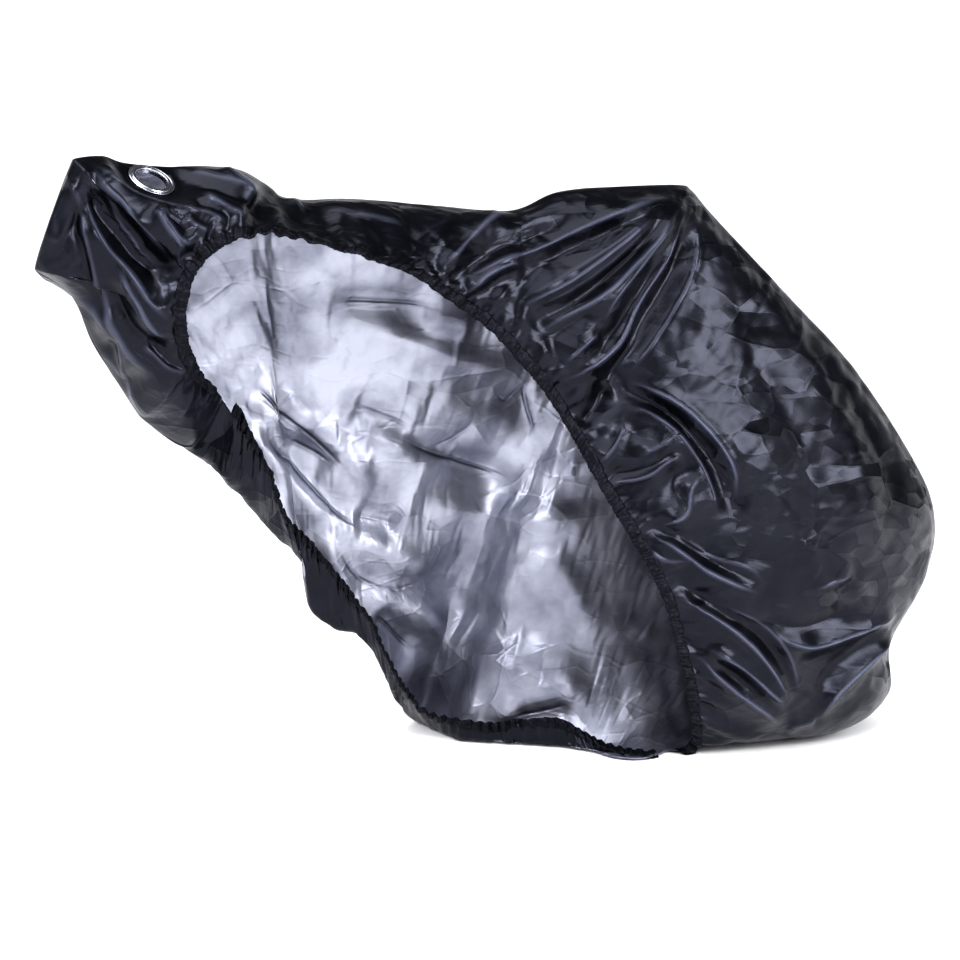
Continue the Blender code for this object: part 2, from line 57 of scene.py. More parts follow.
# The cover's ribs in millimetres, z above the floor. The seam runs over the top, and r is
# how wide the ridge is rounded there. The hem is the open side's, and b is how far the
# cloth bulges out between seam and hem. The far side bellies out beyond its own hem, and
# o and u are how far the wall between seam and belly stands out and is lifted.
SECTIONS = (
    #                  seam                  hem                   belly            far hem
    # section             x     y    z   r     x     y    z   b     x    y    z     x    y    z   o   u
    ("front_end",    -607,   30, 606, 10, -626,    0, 626,  0, -588,  62, 580, -581,  60, 594,  0,  0),
    ("nose_under",   -655,   30, 535, 15, -644,  -30, 645, 15, -597, 100, 492, -569,  70, 578,  0,  0),
    ("nose_bottom",  -728,    0, 585, 15, -660,  -70, 666, 30, -587, 120, 472, -563,  75, 562, 10, 10),
    ("nose_front",   -795,  -50, 690, 15, -673, -100, 691, 30, -572, 140, 455, -556,  80, 548, 25, 30),
    ("corner_under", -825,  -90, 758, 12, -679, -120, 715, 15, -555, 150, 440, -549,  85, 533, 45, 50),
    ("corner_low",   -872, -115, 792, 12, -681, -130, 736,  5, -542, 155, 424, -542,  90, 518, 70, 80),
    ("corner_face",  -855, -140, 850, 15, -678, -140, 759,  0, -528, 160, 406, -536,  90, 504, 80, 60),
    ("corner_top",   -822, -140, 932, 15, -674, -150, 779,  0, -513, 158, 386, -527,  95, 488, 85, 30),
    ("front_top",    -775,  -95, 941, 20, -663, -150, 798,  8, -495, 155, 362, -519, 100, 466, 85, 20),
    ("eyelet",       -718,  -65, 931, 20, -647, -150, 815, 18, -480, 150, 349, -512, 100, 440, 85, 10),
    ("bump_top",     -600,  -20, 935, 30, -619, -145, 831, 20, -461, 150, 320, -494, 110, 406, 80,  0),
    ("bump_rear",    -548,   -5, 917, 25, -595, -142, 837, 12, -455, 165, 283, -476, 115, 388, 75,  0),
    ("front_dip",    -515,    0, 893, 20, -570, -140, 842,  8, -443, 175, 243, -458, 120, 370, 70,  0),
    ("top_front",    -427,    0, 896, 20, -503, -160, 829,  4, -407, 180, 211, -431, 130, 334, 65,  0),
    ("top_middle",   -296,    0, 890, 20, -423, -150, 806,  4, -362, 185, 192, -391, 140, 281, 65,  0),
    ("middle_dip",   -172,    0, 884, 25, -358, -110, 788,  5, -322, 205, 140, -351, 150, 232, 60,  0),
    ("rise",          -87,    0, 915, 35, -295,  -80, 753,  8, -282, 240,  62, -312, 170, 158, 55,  0),
    ("crown",          30,    0, 926, 50, -233,  -70, 714, 10, -235, 285,   6, -280, 190,  95, 45,  0),
    ("crown_rear",    115,    0, 930, 55, -185,  -70, 668, 15, -215, 230,   2, -244, 180,  52, 45,  0),
    ("peak",          138,    0, 922, 50, -136,  -70, 613, 20, -196, 165,   2, -197, 150,  42, 50,  0),
    ("below_peak",    180,    0, 882, 35,  -94,  -70, 551, 30, -130, 120,   2, -139, 120,  38, 60,  0),
    ("tail_upper",    315,    0, 760, 30,  -55,  -90, 474, 45,  -64,  85,   2,  -75,  85,  52, 75,  0),
    ("tail_middle",   465,    0, 620, 30,  -14, -115, 397, 55,  -30,  60,   2,  -40,  75,  48, 85,  0),
    ("tail",          615,    0, 412, 35,   26, -120, 332, 60,    0,  30,   2,   -5,  55,  28, 90,  0),
    ("tail_low",      616,    0, 275, 35,   55, -120, 270, 55,   15,   5,   2,   20,  35,  15, 90,  0),
    ("tail_waist",    549,    0, 155, 30,   81, -110, 196, 45,   30, -10,   2,   38,  18,  10, 80,  0),
    ("tail_foot",     548,    0,  62, 30,  109,  -90, 128, 40,   45, -18,   2,   50,   4,  10, 70,  0),
    ("floor_rear",    455,    0,   6, 20,  126,  -70,  78, 35,   60, -22,   2,   62,  -6,  10, 50,  0),
    ("floor_middle",  255,    5,   5, 15,  145,  -40,  33, 18,   75, -20,   2,   78, -12,   8, 20,  0),
    ("rear_end",      120,   -8,   4, 10,  150,  -10,   6,  0,   92, -16,   3,   90, -10,   8,  0,  0),
)
# the table's columns, from and up to
SEAM, RIDGE = (1, 4), (4, 5)
NEAR_HEM, NEAR_PARTS = (5, 8), (5, 9)
FAR_HEM, FAR_PARTS = (12, 15), (9, 17)

CORNERS = ("nose_bottom", "corner_low", "corner_top")   # where the seam turns sharply
CORNER_EASE = 0.2            # share of its usual roundness that the seam keeps there

# Shape of a rib between the points that the table gives
SHOULDER = 0.75              # a shoulder lies this share of the ridge's width out and down
SHORT_RIDGE = 0.3            # the ridge takes at most this share of the open side's drop
WALL_UPPER = 0.33            # places of the far wall's points, from shoulder to belly
WALL_LOWER = 0.72
WALL_LOWER_OUT = 0.75        # the lower point stands out this share of the upper one's
LOWEST = 0.003               # the smooth cloth stays this far above the floor

# Folds in millimetres, drawn in the side view: width from crest to foot, height, then the
# points x, z of the fold's line. A height above zero is a ridge on the outside of the
# cloth, and one below zero is a trough.
FOLDS = {
    "near": (
        # fanned out from the front corner
        (12, -20, -800, 930, -790, 900, -770, 870, -745, 840, -725, 810, -700, 785),
        (8, 10, -805, 925, -800, 905, -780, 885, -760, 850, -735, 810, -715, 790),
        (8, 10, -800, 930, -780, 900, -760, 880, -740, 850, -720, 825, -705, 800),
        (16, -27, -815, 910, -800, 890, -790, 865, -765, 835, -750, 810, -725, 780, -700, 750),
        (8, 10, -815, 905, -800, 870, -790, 840, -775, 815, -755, 790, -735, 760, -695, 720),
        (12, -20, -825, 890, -820, 840, -810, 810, -805, 780, -795, 750, -780, 715),
        (9, 10, -820, 885, -810, 835, -800, 785, -790, 750, -780, 725, -765, 695, -735, 660,
         -710, 640),
        (14, -20, -780, 785, -765, 735, -750, 710, -720, 690, -690, 680),
        (12, 12, -770, 800, -755, 765, -740, 740, -725, 715, -710, 700, -690, 690),
        (8, 8, -740, 685, -720, 675, -700, 660, -670, 650),
        (9, -12, -735, 690, -710, 675, -690, 660, -670, 655),
        (6, 8, -845, 775, -820, 755, -805, 740, -785, 720, -775, 705),
        (10, -15, -785, 700, -775, 685, -765, 665, -755, 645, -740, 620),
        (8, 11, -775, 705, -765, 680, -755, 645, -740, 620, -730, 600, -710, 580),
        (8, 6, -790, 685, -770, 660, -750, 640),
        (6, 6, -800, 930, -775, 915, -750, 900, -720, 890, -690, 875, -660, 870),
        (7, 5, -720, 870, -695, 860, -670, 845),
        (9, -10, -715, 865, -695, 855, -670, 840),
        (7, 8, -720, 870, -705, 850, -690, 830, -670, 825),
        (14, 10, -725, 875, -700, 835, -680, 810),
        (6, 4, -830, 905, -820, 885, -815, 870),
        (7, -4, -865, 805, -845, 805, -830, 790),
        (6, 3, -860, 835, -845, 825),
        (10, -6, -845, 880, -840, 840, -845, 800),
        # behind the eyelet
        (7, -9, -677, 918, -627, 900, -578, 878, -549, 854),
        (10, 7, -670, 928, -610, 911, -560, 885),
        (7, 8, -618, 935, -586, 902, -568, 886),
        (9, 8, -546, 917, -514, 894, -500, 870),
        (6, 6, -690, 871, -662, 871, -621, 855),
        (6, 6, -680, 863, -669, 851, -647, 841),
        (10, 8, -655, 897, -618, 873, -595, 861),
        (7, -7, -670, 885, -640, 875, -605, 858),
        (10, -7, -545, 870, -505, 860, -460, 850),
        (14, 5, -480, 882, -420, 868, -350, 858),
        (12, -5, -430, 850, -360, 840, -300, 838),
        # from the peak to the hem
        (10, 10, -318, 794, -282, 820, -223, 862, -170, 884),
        (10, -11, -302, 785, -265, 797, -215, 822, -131, 851, -80, 871),
        (10, 10, -264, 761, -235, 788, -201, 801, -166, 806),
        (7, 10, 105, 914, 13, 890, -65, 862, -157, 823, -231, 801, -296, 770),
        (13, -12, 50, 888, -45, 850, -132, 809, -210, 764),
        (10, 11, 52, 886, -20, 830, -100, 777, -190, 737),
        (6, 4, 52, 888, -15, 843, -100, 790, -179, 747),
        (6, 4, 53, 882, -25, 811, -96, 764, -159, 733),
        (13, -16, 68, 882, -4, 812, -68, 762, -162, 706),
        (7, 10, 94, 899, 16, 813, -47, 757, -121, 717, -157, 693),
        (7, 8, 78, 876, 3, 784, -31, 743, -42, 709),
        (9, -11, -50, 742, -113, 704, -150, 685),
        (7, 8, -44, 704, -81, 676, -106, 656),
        (8, 13, 98, 893, 66, 813, 22, 748, -12, 684, -42, 659, -122, 623),
        (8, -9, 60, 822, 21, 764, -30, 695, -67, 663),
        (20, -30, 111, 885, 92, 814, 44, 740, -4, 677, -44, 610, -65, 575),
        (9, 6, 128, 880, 120, 814, 75, 735, 28, 672, -5, 632),
        # under the peak, where the cloth hangs back
        (16, -24, -25, 625, 48, 589, 102, 540, 138, 486, 146, 415),
        (9, 14, -8, 632, 69, 595, 124, 545, 160, 487, 164, 435),
        (8, 10, -1, 598, 67, 551, 112, 491, 132, 419),
        (10, -15, -32, 625, -51, 590, -81, 556),
        (7, 8, -9, 568, -26, 533, -53, 500),
        (7, 6, 67, 545, 40, 528, 11, 515),
        (9, -9, 63, 528, 30, 498, -1, 488, -49, 491),
        (8, 9, 81, 513, 50, 502, 26, 486, -37, 473),
        (9, -8, 76, 505, 61, 472, 74, 432, 63, 413),
        (9, 11, 112, 489, 87, 464, 79, 425, 36, 403),
        # lower rear corner
        (9, -11, 5, 409, 68, 387, 136, 342, 205, 305),
        (7, 6, 36, 408, 119, 356, 199, 325, 214, 306),
        (9, 14, 15, 400, 72, 364, 111, 336, 209, 291),
        (7, 6, 13, 376, 38, 355, 81, 350),
        (10, -13, 45, 335, 139, 268, 212, 220, 273, 154, 291, 114),
        (9, 16, 65, 296, 130, 260, 205, 203, 263, 136, 288, 98),
        (7, 7, 140, 278, 239, 223, 290, 150, 304, 106),
        (9, 14, 127, 210, 190, 168, 265, 107, 289, 88),
        (9, -10, 130, 192, 215, 127, 278, 76),
        (9, 13, 105, 200, 175, 138, 257, 76, 286, 53),
        (10, 17, 515, 226, 404, 207, 308, 196, 240, 215),
        (16, -13, 171, 255, 232, 240, 303, 225, 374, 243, 420, 270),
        (10, 17, 526, 183, 423, 134, 361, 77, 355, 55),
        (7, 6, 354, 57, 299, 49),
        (22, -12, 490, 205, 400, 160, 330, 100),
        (10, 8, 306, 291, 350, 303, 387, 306),
        (8, -7, 353, 280, 388, 297),
        # long soft creases of the large rear panel
        (30, 6, 200, 800, 330, 640, 420, 430, 430, 300),
        (30, -6, 180, 720, 280, 540, 330, 340),
        (22, -4, 300, 720, 420, 560, 520, 380),
    ),
    "far": (
        # what lies below zero here stands towards the inside of the cover
        (12, -13, -553, 646, -497, 589, -436, 539, -377, 488, -324, 415),
        (11, 12, -545, 628, -490, 572, -432, 522, -380, 470),
        (10, -11, -547, 604, -490, 558, -435, 515, -390, 475),
        (12, 14, -483, 527, -435, 502, -403, 482),
        (10, -14, -547, 561, -509, 505, -465, 453, -414, 400, -363, 372, -295, 348),
        (11, 16, -525, 553, -485, 497, -432, 437, -387, 391, -340, 368),
        (14, 18, -370, 394, -323, 382, -281, 370),
        (10, -10, -363, 360, -294, 322, -218, 280),
        (10, -8, -430, 375, -390, 305, -362, 262),
        (12, 8, -400, 350, -360, 290, -300, 262, -216, 268),
        (9, -12, -349, 242, -295, 244, -235, 200, -196, 150),
        (12, 16, -335, 225, -300, 200, -262, 160, -230, 130),
        (11, -7, -400, 708, -345, 700, -276, 679, -210, 655, -115, 633, -43, 611),
        (15, 6, -350, 726, -304, 710, -214, 683, -104, 655, -40, 635),
        (8, -7, -270, 710, -225, 710, -180, 702),
        (12, 8, -430, 745, -330, 742, -240, 732),
        (10, -7, -360, 600, -300, 575, -258, 550),
        (12, 8, -375, 580, -315, 556, -275, 540),
        (9, -13, -345, 538, -293, 508, -252, 487, -205, 472, -175, 466),
        (11, 18, -300, 526, -255, 500, -189, 474, -130, 452, -70, 434),
        (30, 12, -260, 440, -170, 418, -80, 400),
        (11, -9, -240, 405, -160, 385, -60, 375, 40, 385),
        (10, -4, -245, 590, -205, 572, -160, 548),
        (8, 4, -236, 490, -195, 515, -162, 540),
        (7, 4, -130, 595, -108, 578, -80, 608),
        (7, 7, -80, 612, -70, 578, -50, 520),
        (7, -6, -62, 605, -55, 560, -36, 510),
        (10, -9, -280, 235, -225, 207, -185, 165, -155, 115),
        (20, 10, -250, 300, -180, 230, -110, 190, -20, 200),
        (14, -9, -150, 150, -100, 120, -60, 100, 20, 110),
        (8, -11, -140, 35, -99, 60, -60, 73, -30, 80, 20, 89),
        (9, 9, -115, 42, -60, 56, -10, 66),
        (22, -6, -70, 340, 10, 240, 40, 150),
        (26, 12, -300, 860, -200, 790, -100, 740),
        (24, -10, -120, 850, -80, 760, -20, 690),
        (30, 12, 100, 860, 130, 640, 120, 420),
        (30, -12, 200, 780, 280, 560, 260, 340),
        (26, 10, 420, 600, 450, 420, 380, 260),
        (24, 10, 500, 200, 380, 150, 240, 170),
        (24, -10, 480, 120, 340, 80, 200, 90),
    ),
}

LOOSENESS = {"near": 1.0, "far": 1.55}   # how much larger than drawn each side's folds hang
FOLD_STEPS = 24              # straight steps that a fold's line is measured with
FOLD_ROUND = 0.0045          # radius that a fold's crest is rounded with
FOLD_END = 0.10              # how far up its rise a fold starts at its ends
FOLD_FADE = 3.6              # how steeply it rises from there
FOLD_WIDENS = 0.7            # a fold widens by this share of its width along its line
FOLD_FALL = 1.25             # how its sides fall off: above one, it has a rounder crest
SEAM_CALM = 0.030            # folds die out this close to the seam
SHARP_HEIGHT = 0.016         # a fold at least this high has a fully sharp crest
SLENDER = (0.024, 0.018)     # widths at which a fold's crest is quite soft, and still sharp

# Thin creases pressed in while the cover was packed away: how many on each side, their
# length, width and height, where they lie in the side view, and the two ways that most of
# them run, in radians from level, with how far they stray from those
PRESSED = {"near": 170, "far": 90}
PRESSED_LENGTH = (0.030, 0.120)
PRESSED_WIDTH = 0.006
PRESSED_HEIGHT = (0.0005, 0.0012)
PRESSED_X, PRESSED_Z = (-0.84, 0.60), (0.03, 0.90)
PRESSED_WAYS = (0.62, -0.95)
PRESSED_STRAY = 0.30
SECOND_WAY = 0.6             # above this draw a crease runs the second way
PRESSED_SEED = {"near": 5, "far": 8}

# Marks on the cloth's points that its finish reads: the distance to the nearest fold's line
# and how sharp that fold is. Lanes keep folds that lie close from disturbing each other.
MARK_REACH = 0.012           # how far from a fold's line the cloth is marked
LANES = 3
MARKS = tuple(f"{fold}_{lane}_{part}" for fold in ("ridge", "trough")
              for lane in range(LANES) for part in ("distance", "sharpness"))

# Gathers at a hem, in three sets: waves for each wave of the finest, turn in radians, how
# far in from the hem they lie, and how far from there they die out
GATHERS = ((1.0, 0.0, 0.0, 0.030), (0.5, 1.0, 0.045, 0.045), (0.27, 2.0, 0.100, 0.080))

STATIONS = 620               # ribs along the cover
NEAR_ROWS = FAR_ROWS = 78    # points down each rib, seam to hem
COARSE_STATIONS = 280        # the same for the cloth that is left to settle
COARSE_NEAR, COARSE_FAR = 35, 40
SETTLE_FRAMES = 24
# a light, limp cloth that hardly stretches along its threads
SETTLE = {
    "vertex_group_mass": "held",
    "quality": 5,
    "mass": 0.05,
    "air_damping": 4.0,
    "tension_stiffness": 20.0,
    "compression_stiffness": 20.0,
    "shear_stiffness": 10.0,
    "bending_stiffness": 0.1,
    "pin_stiffness": 1.0,
}

# Lock eyelet
EYELET_CENTRE = Vector((-0.717, -0.093, 0.911 - FLOOR))
EYELET_NORMAL = Vector((0.258, -0.584, 0.763)).normalized()
PATCH_RADIUS = 0.031         # the round of cloth that the eyelet is set in
WASHER_RADIUS = 0.029
FLAT_ROUND = (0.070, 0.038)  # round the eyelet the cloth begins to flatten, and lies flat
FIT_GAP = 0.0003             # between the eyelet's pieces and the cloth
RING_STEPS = 96              # straight sides of the turned rings

TUBE_SIDES = 16              # points round a drawn-up hem
TUBE_STEPS = 6               # points along each of its puckers

# Finish of the cloth: the crest where two facets meet, and the weave. Real threads are
# about 0.15 mm apart; they are drawn this coarse so that they show.
EDGE_WIDTH = 0.0035
WEAVE = 0.0016
COLD_GLOSS = "#cdd1e7"       # colour of the gloss on cloth and elastic

# Stage: each softbox's place, size and share of the power, what they all face, and the
# way to the middle of the ceiling light
SOFTBOXES = (
    ("left softbox", (-2.6, -2.4, 1.4), 1.0, 0.42),
    ("right softbox", (2.0, -3.2, 1.1), 2.0, 0.95),
    ("rear softbox", (-3.2, 1.6, 1.3), 1.5, 0.22),
)
LIT_PLACE = Vector((-0.1, 0.0, -0.4))
CEILING_WAY = Vector((-0.35, -0.45, 1.0))
CEILING_ANGLE = 1.2          # how wide the ceiling light is, in radians
CEILING_SHADE = 0.08         # brightness of the dark ceiling
FLOOR_HALF = 60.0
CAMERA_PLACE = (-0.9717, -2.1416, -0.1279)
CAMERA_TURN = (81.979, -0.328, -19.426)      # degrees round X, Y and Z


def linear(hex_colour):
    """An sRGB hex colour as linear red, green and blue."""
    parts = [int(hex_colour[k:k + 2], 16) / 255.0 for k in (1, 3, 5)]
    return tuple(c / 12.92 if c <= 0.04045 else ((c + 0.055) / 1.055) ** 2.4 for c in parts)


def columns(first, last):
    """Some columns of the sections' table in metres, one row a section."""
    return np.array([row[first:last] for row in SECTIONS]) / 1000.0


def eased(share):
    """A share from 0 to 1 that starts and ends gently."""
    share = np.clip(share, 0.0, 1.0)
    return share * share * (3.0 - 2.0 * share)


def unit(vectors):
    return vectors / np.maximum(np.linalg.norm(vectors, axis=-1, keepdims=True), 1e-12)


def step_lengths(points, axis=0):
    return np.linalg.norm(np.diff(points, axis=axis), axis=-1)


def running(steps, axis=0):
    """The sum of the steps before each place, starting from zero."""
    return np.concatenate((np.zeros_like(steps.take([0], axis)), np.cumsum(steps, axis)), axis)


def between_rows(values, places, ease=None):
    """Smooth values between rows, at fractional row numbers. Where a row's ease is below
    one the values turn more sharply there."""
    last = len(values) - 1
    row = np.clip(places.astype(int), 0, last - 1)
    shape = (-1,) + (1,) * (values.ndim - 1)
    f = (places - row).reshape(shape)
    a, b, c, d = (values[np.clip(row + k, 0, last)] for k in (-1, 0, 1, 2))
    ease = np.ones(last + 1) if ease is None else ease
    start = 0.5 * (c - a) * ease[row].reshape(shape)
    end = 0.5 * (d - b) * ease[row + 1].reshape(shape)
    return (b * (1 + 2 * f) * (1 - f) ** 2 + start * f * (1 - f) ** 2
            + c * f**2 * (3 - 2 * f) - end * f**2 * (1 - f))


def even_places(count):
    """Fractional section numbers that space the stations evenly along the cover."""
    edges = (columns(*SEAM), columns(*NEAR_HEM), columns(*FAR_HEM))
    along = running(sum(step_lengths(edge) for edge in edges))
    return np.interp(np.linspace(0.0, along[-1], count), along, np.arange(len(along)))


def smooth_line(points, fractions):
    """Points on a smooth curve through the given points, by share of its chord length."""
    chord = step_lengths(points)
    knots = running(chord)
    slope = np.diff(points, axis=0) / chord[:, None]
    tangent = np.empty_like(points)
    tangent[0], tangent[-1] = slope[0], slope[-1]
    share = (chord[1:] / (chord[:-1] + chord[1:]))[:, None]
    tangent[1:-1] = slope[:-1] * share + slope[1:] * (1.0 - share)
    at = fractions * knots[-1]
    span = np.clip(np.searchsorted(knots, at, side="right") - 1, 0, len(chord) - 1)
    length = chord[span][:, None]
    t = ((at - knots[span]) / chord[span])[:, None]
    return (points[span] * (1 + 2 * t) * (1 - t) ** 2 + tangent[span] * length * t * (1 - t) ** 2
            + points[span + 1] * t**2 * (3 - 2 * t) - tangent[span + 1] * length * t**2 * (1 - t))


def rib_points(seam, ridge, near_hem, bulge, belly, far_hem, wall):
    """The points that one rib of the cover runs through, hem to hem. The fourth is on the
    seam."""
    out_near, out_far = np.array((0.0, -1.0, 0.0)), np.array((0.0, 1.0, 0.0))
    drop_near, drop_far = unit(near_hem - seam), unit(belly - seam)
    ridge = SHOULDER * min(ridge, SHORT_RIDGE * np.linalg.norm(near_hem - seam))
    near_shoulder = seam + ridge * (out_near + drop_near)
    far_shoulder = seam + ridge * (out_far + drop_far)
    near_middle = 0.5 * (near_shoulder + near_hem) + bulge * out_near
    fall = belly - far_shoulder
    wall_upper = far_shoulder + WALL_UPPER * fall + wall
    wall_lower = far_shoulder + WALL_LOWER * fall + WALL_LOWER_OUT * wall
    return np.array((near_hem, near_middle, near_shoulder, seam, far_shoulder,
                     wall_upper, wall_lower, belly, far_hem))


def base_surface(stations, near_rows, far_rows):
    """The smooth outside of the cover as a grid, station by row, from the open side's
    hem over the seam to the far hem. The seam is row near_rows - 1."""
    places = even_places(stations)
    ease = np.array([CORNER_EASE if row[0] in CORNERS else 1.0 for row in SECTIONS])
    seam, ridge = (between_rows(columns(*part), places, ease) for part in (SEAM, RIDGE))
    near, far = (between_rows(columns(*part), places) for part in (NEAR_PARTS, FAR_PARTS))
    grid = []
    for i in range(stations):
        wall = np.array((0.0, far[i, 6], far[i, 7]))
        points = rib_points(seam[i], ridge[i, 0], near[i, :3], near[i, 3],
                            far[i, :3], far[i, 3:6], wall)
        chord = step_lengths(points)
        middle = chord[:3].sum() / chord.sum()      # the seam is the fourth point
        fractions = np.concatenate((np.linspace(0.0, middle, near_rows),
                                    np.linspace(middle, 1.0, far_rows)[1:]))
        grid.append(smooth_line(points, fractions))
    grid = np.array(grid)
    grid[:, :, 2] = np.maximum(grid[:, :, 2], LOWEST) - FLOOR
    return grid


def outward(grid):
    """Unit normals of a grid, pointing out of the cover."""
    return unit(np.cross(np.gradient(grid, axis=0), np.gradient(grid, axis=1)))


def distance_to_line(x, z, path):
    """Distance in the side view from each point to a line of short steps, below zero on
    its right, and the share of the line's length at the nearest place."""
    nearest = np.full(x.shape, np.inf)
    share = np.zeros(x.shape)
    steps = len(path) - 1
    for k in range(steps):
        start, step = path[k], path[k + 1] - path[k]
        t = np.clip(((x - start[0]) * step[0] + (z - start[1]) * step[1]) / step.dot(step), 0, 1)
        away = np.stack((x - start[0] - t * step[0], z - start[1] - t * step[1]))
        distance = np.hypot(*away)
        distance = np.where(step[0] * away[1] < step[1] * away[0], -distance, distance)
        closer = np.abs(distance) < np.abs(nearest)
        nearest = np.where(closer, distance, nearest)
        share = np.where(closer, (k + t) / steps, share)
    return nearest, share


def end_fade(share):
    """How a fold dies out at both ends of its line."""
    return eased(FOLD_END + FOLD_FADE * np.minimum(share, 1.0 - share))


def fold_lines(side):
    """The folds of one side as (width, height, path, lane), then the thin pressed creases,
    which have no lane. Folds that are drawn one after another are in different lanes."""
    loose = LOOSENESS[side]
    for number, fold in enumerate(FOLDS[side], 1):
        width, height, line = fold[0] / 1000.0, fold[1] / 1000.0, np.array(fold[2:]) / 1000.0
        path = smooth_line(line.reshape(-1, 2), np.linspace(0.0, 1.0, FOLD_STEPS + 1))
        yield loose * width, loose * height, path, number % LANES
    random = np.random.default_rng(PRESSED_SEED[side])
    for _ in range(PRESSED[side]):
        middle = np.array((random.uniform(*PRESSED_X), random.uniform(*PRESSED_Z)))
        way = PRESSED_WAYS[int(random.uniform() > SECOND_WAY)] + random.normal(0.0, PRESSED_STRAY)
        reach = 0.5 * random.uniform(*PRESSED_LENGTH) * np.array((np.cos(way), np.sin(way)))
        height = random.choice((-1.0, 1.0)) * random.uniform(*PRESSED_HEIGHT)
        yield PRESSED_WIDTH, height, np.array((middle - reach, middle + reach)), None


def free_lane(near_line, crossing, first):
    """The first lane with no other fold where a crease crosses the cloth, or None."""
    for lane in range(LANES):
        if (np.abs(near_line[crossing, first + 2 * lane]) > 1.5 * MARK_REACH).all():
            return lane
    return None


def folds_on(grid, side):
    """How far the folds of one side lift the cloth at each point of the grid, and the
    point's marks, in the order of MARKS."""
    x, z = grid[:, :, 0], grid[:, :, 2] + FLOOR
    lift = np.zeros(x.shape)
    marks = np.zeros(x.shape + (len(MARKS),))
    marks[:, :, 0::2] = 2.0 * MARK_REACH
    for width, height, path, lane in fold_lines(side):
        low, high = path.min(axis=0) - 5 * width, path.max(axis=0) + 5 * width
        close = (x > low[0]) & (x < high[0]) & (z > low[1]) & (z < high[1])
        distance, share = distance_to_line(x[close], z[close], path)
        fade = end_fade(share)
        away = ((np.hypot(distance, FOLD_ROUND) - FOLD_ROUND)
                / (width * (1.0 + FOLD_WIDENS * share)))
        lift[close] += height * fade * np.exp(-away**FOLD_FALL)
        near_line = marks[close]
        first = 0 if height > 0 else 2 * LANES
        if lane is None:
            lane = free_lane(near_line, np.abs(distance) < MARK_REACH, first)
        if lane is None:
            continue
        kind = first + 2 * lane
        closer = np.abs(distance) < np.abs(near_line[:, kind])
        reach = np.clip(2.0 - np.abs(distance) / (0.5 * MARK_REACH), 0.0, 1.0)
        slender = np.clip((SLENDER[0] - width) / (SLENDER[0] - SLENDER[1]), 0.0, 1.0)
        sharp = fade * fade * reach * slender * np.clip(abs(height) / SHARP_HEIGHT, 0.0, 1.0)
        near_line[:, kind] = np.where(closer, distance, near_line[:, kind])
        near_line[:, kind + 1] = np.where(closer, sharp, near_line[:, kind + 1])
        marks[close] = near_line
    return lift, marks


def value_noise(u, v, seed):
    """Smooth noise from -1 to 1 with one lump a unit of u and v."""
    size = 64                                # lumps before it repeats
    lattice = np.random.default_rng(seed).uniform(-1.0, 1.0, (size, size))
    i, j = np.floor(u).astype(int), np.floor(v).astype(int)
    f, g = eased(u - i), eased(v - j)
    i, j, next_i, next_j = i % size, j % size, (i + 1) % size, (j + 1) % size
    a, b, c, d = lattice[i, j], lattice[next_i, j], lattice[i, next_j], lattice[next_i, next_j]
    return (a * (1 - f) + b * f) * (1 - g) + (c * (1 - f) + d * f) * g


def lengths_along(grid):
    """Distance run along each row and down each station, in metres."""
    return running(step_lengths(grid)), running(step_lengths(grid, 1), 1)


def crumple(grid, depth, size):
    """Sharp creases at a few sizes, as thin coated cloth takes when it is stuffed away."""
    x, y, z = grid[:, :, 0], grid[:, :, 1], grid[:, :, 2]
    lift = np.zeros(x.shape)
    for k, (scale, share) in enumerate(((1.0, 1.0), (0.55, 0.5), (0.3, 0.25))):
        wide = size * scale
        u, v = (x + 0.5 * y + 10.0) / wide, (z + 0.3 * y + 10.0) / wide
        u, v = (u + 0.45 * value_noise(0.7 * v, u, 11 + k),
                v + 0.45 * value_noise(u, 0.7 * v, 21 + k))
        turned_u, turned_v = 0.8 * u + 0.6 * v, 0.8 * v - 0.6 * u
        one = np.abs(value_noise(0.7 * turned_u, 1.6 * turned_v, 31 + k))
        two = np.abs(value_noise(1.6 * turned_u, 0.6 * turned_v, 41 + k))
        lift += share * (one + 0.7 * two - 0.6)
    return depth * lift


def puckers(grid, from_hem, hem_row, spacing, height, far_in):
    """Gathers that run in from an elastic hem and die out, uneven along it. far_in is how
    much of the gathers that reach furthest in is left."""
    along, _ = lengths_along(grid)
    run = along[:, hem_row][:, None] + 0.0 * from_hem
    wander = spacing * 0.8 * value_noise(run / (3.2 * spacing), from_hem / 0.09, 51)
    phase = 2 * np.pi * (run + wander) / spacing
    fine, middle, wide = (
        np.sin(waves * phase + turn) * np.exp(-((from_hem - place) / reach) ** 2)
        for waves, turn, place, reach in GATHERS)
    uneven = 0.65 + 0.35 * value_noise(run / 0.11, from_hem / 0.20, 57)
    return height * uneven * (fine + 0.9 * far_in * (middle + wide))


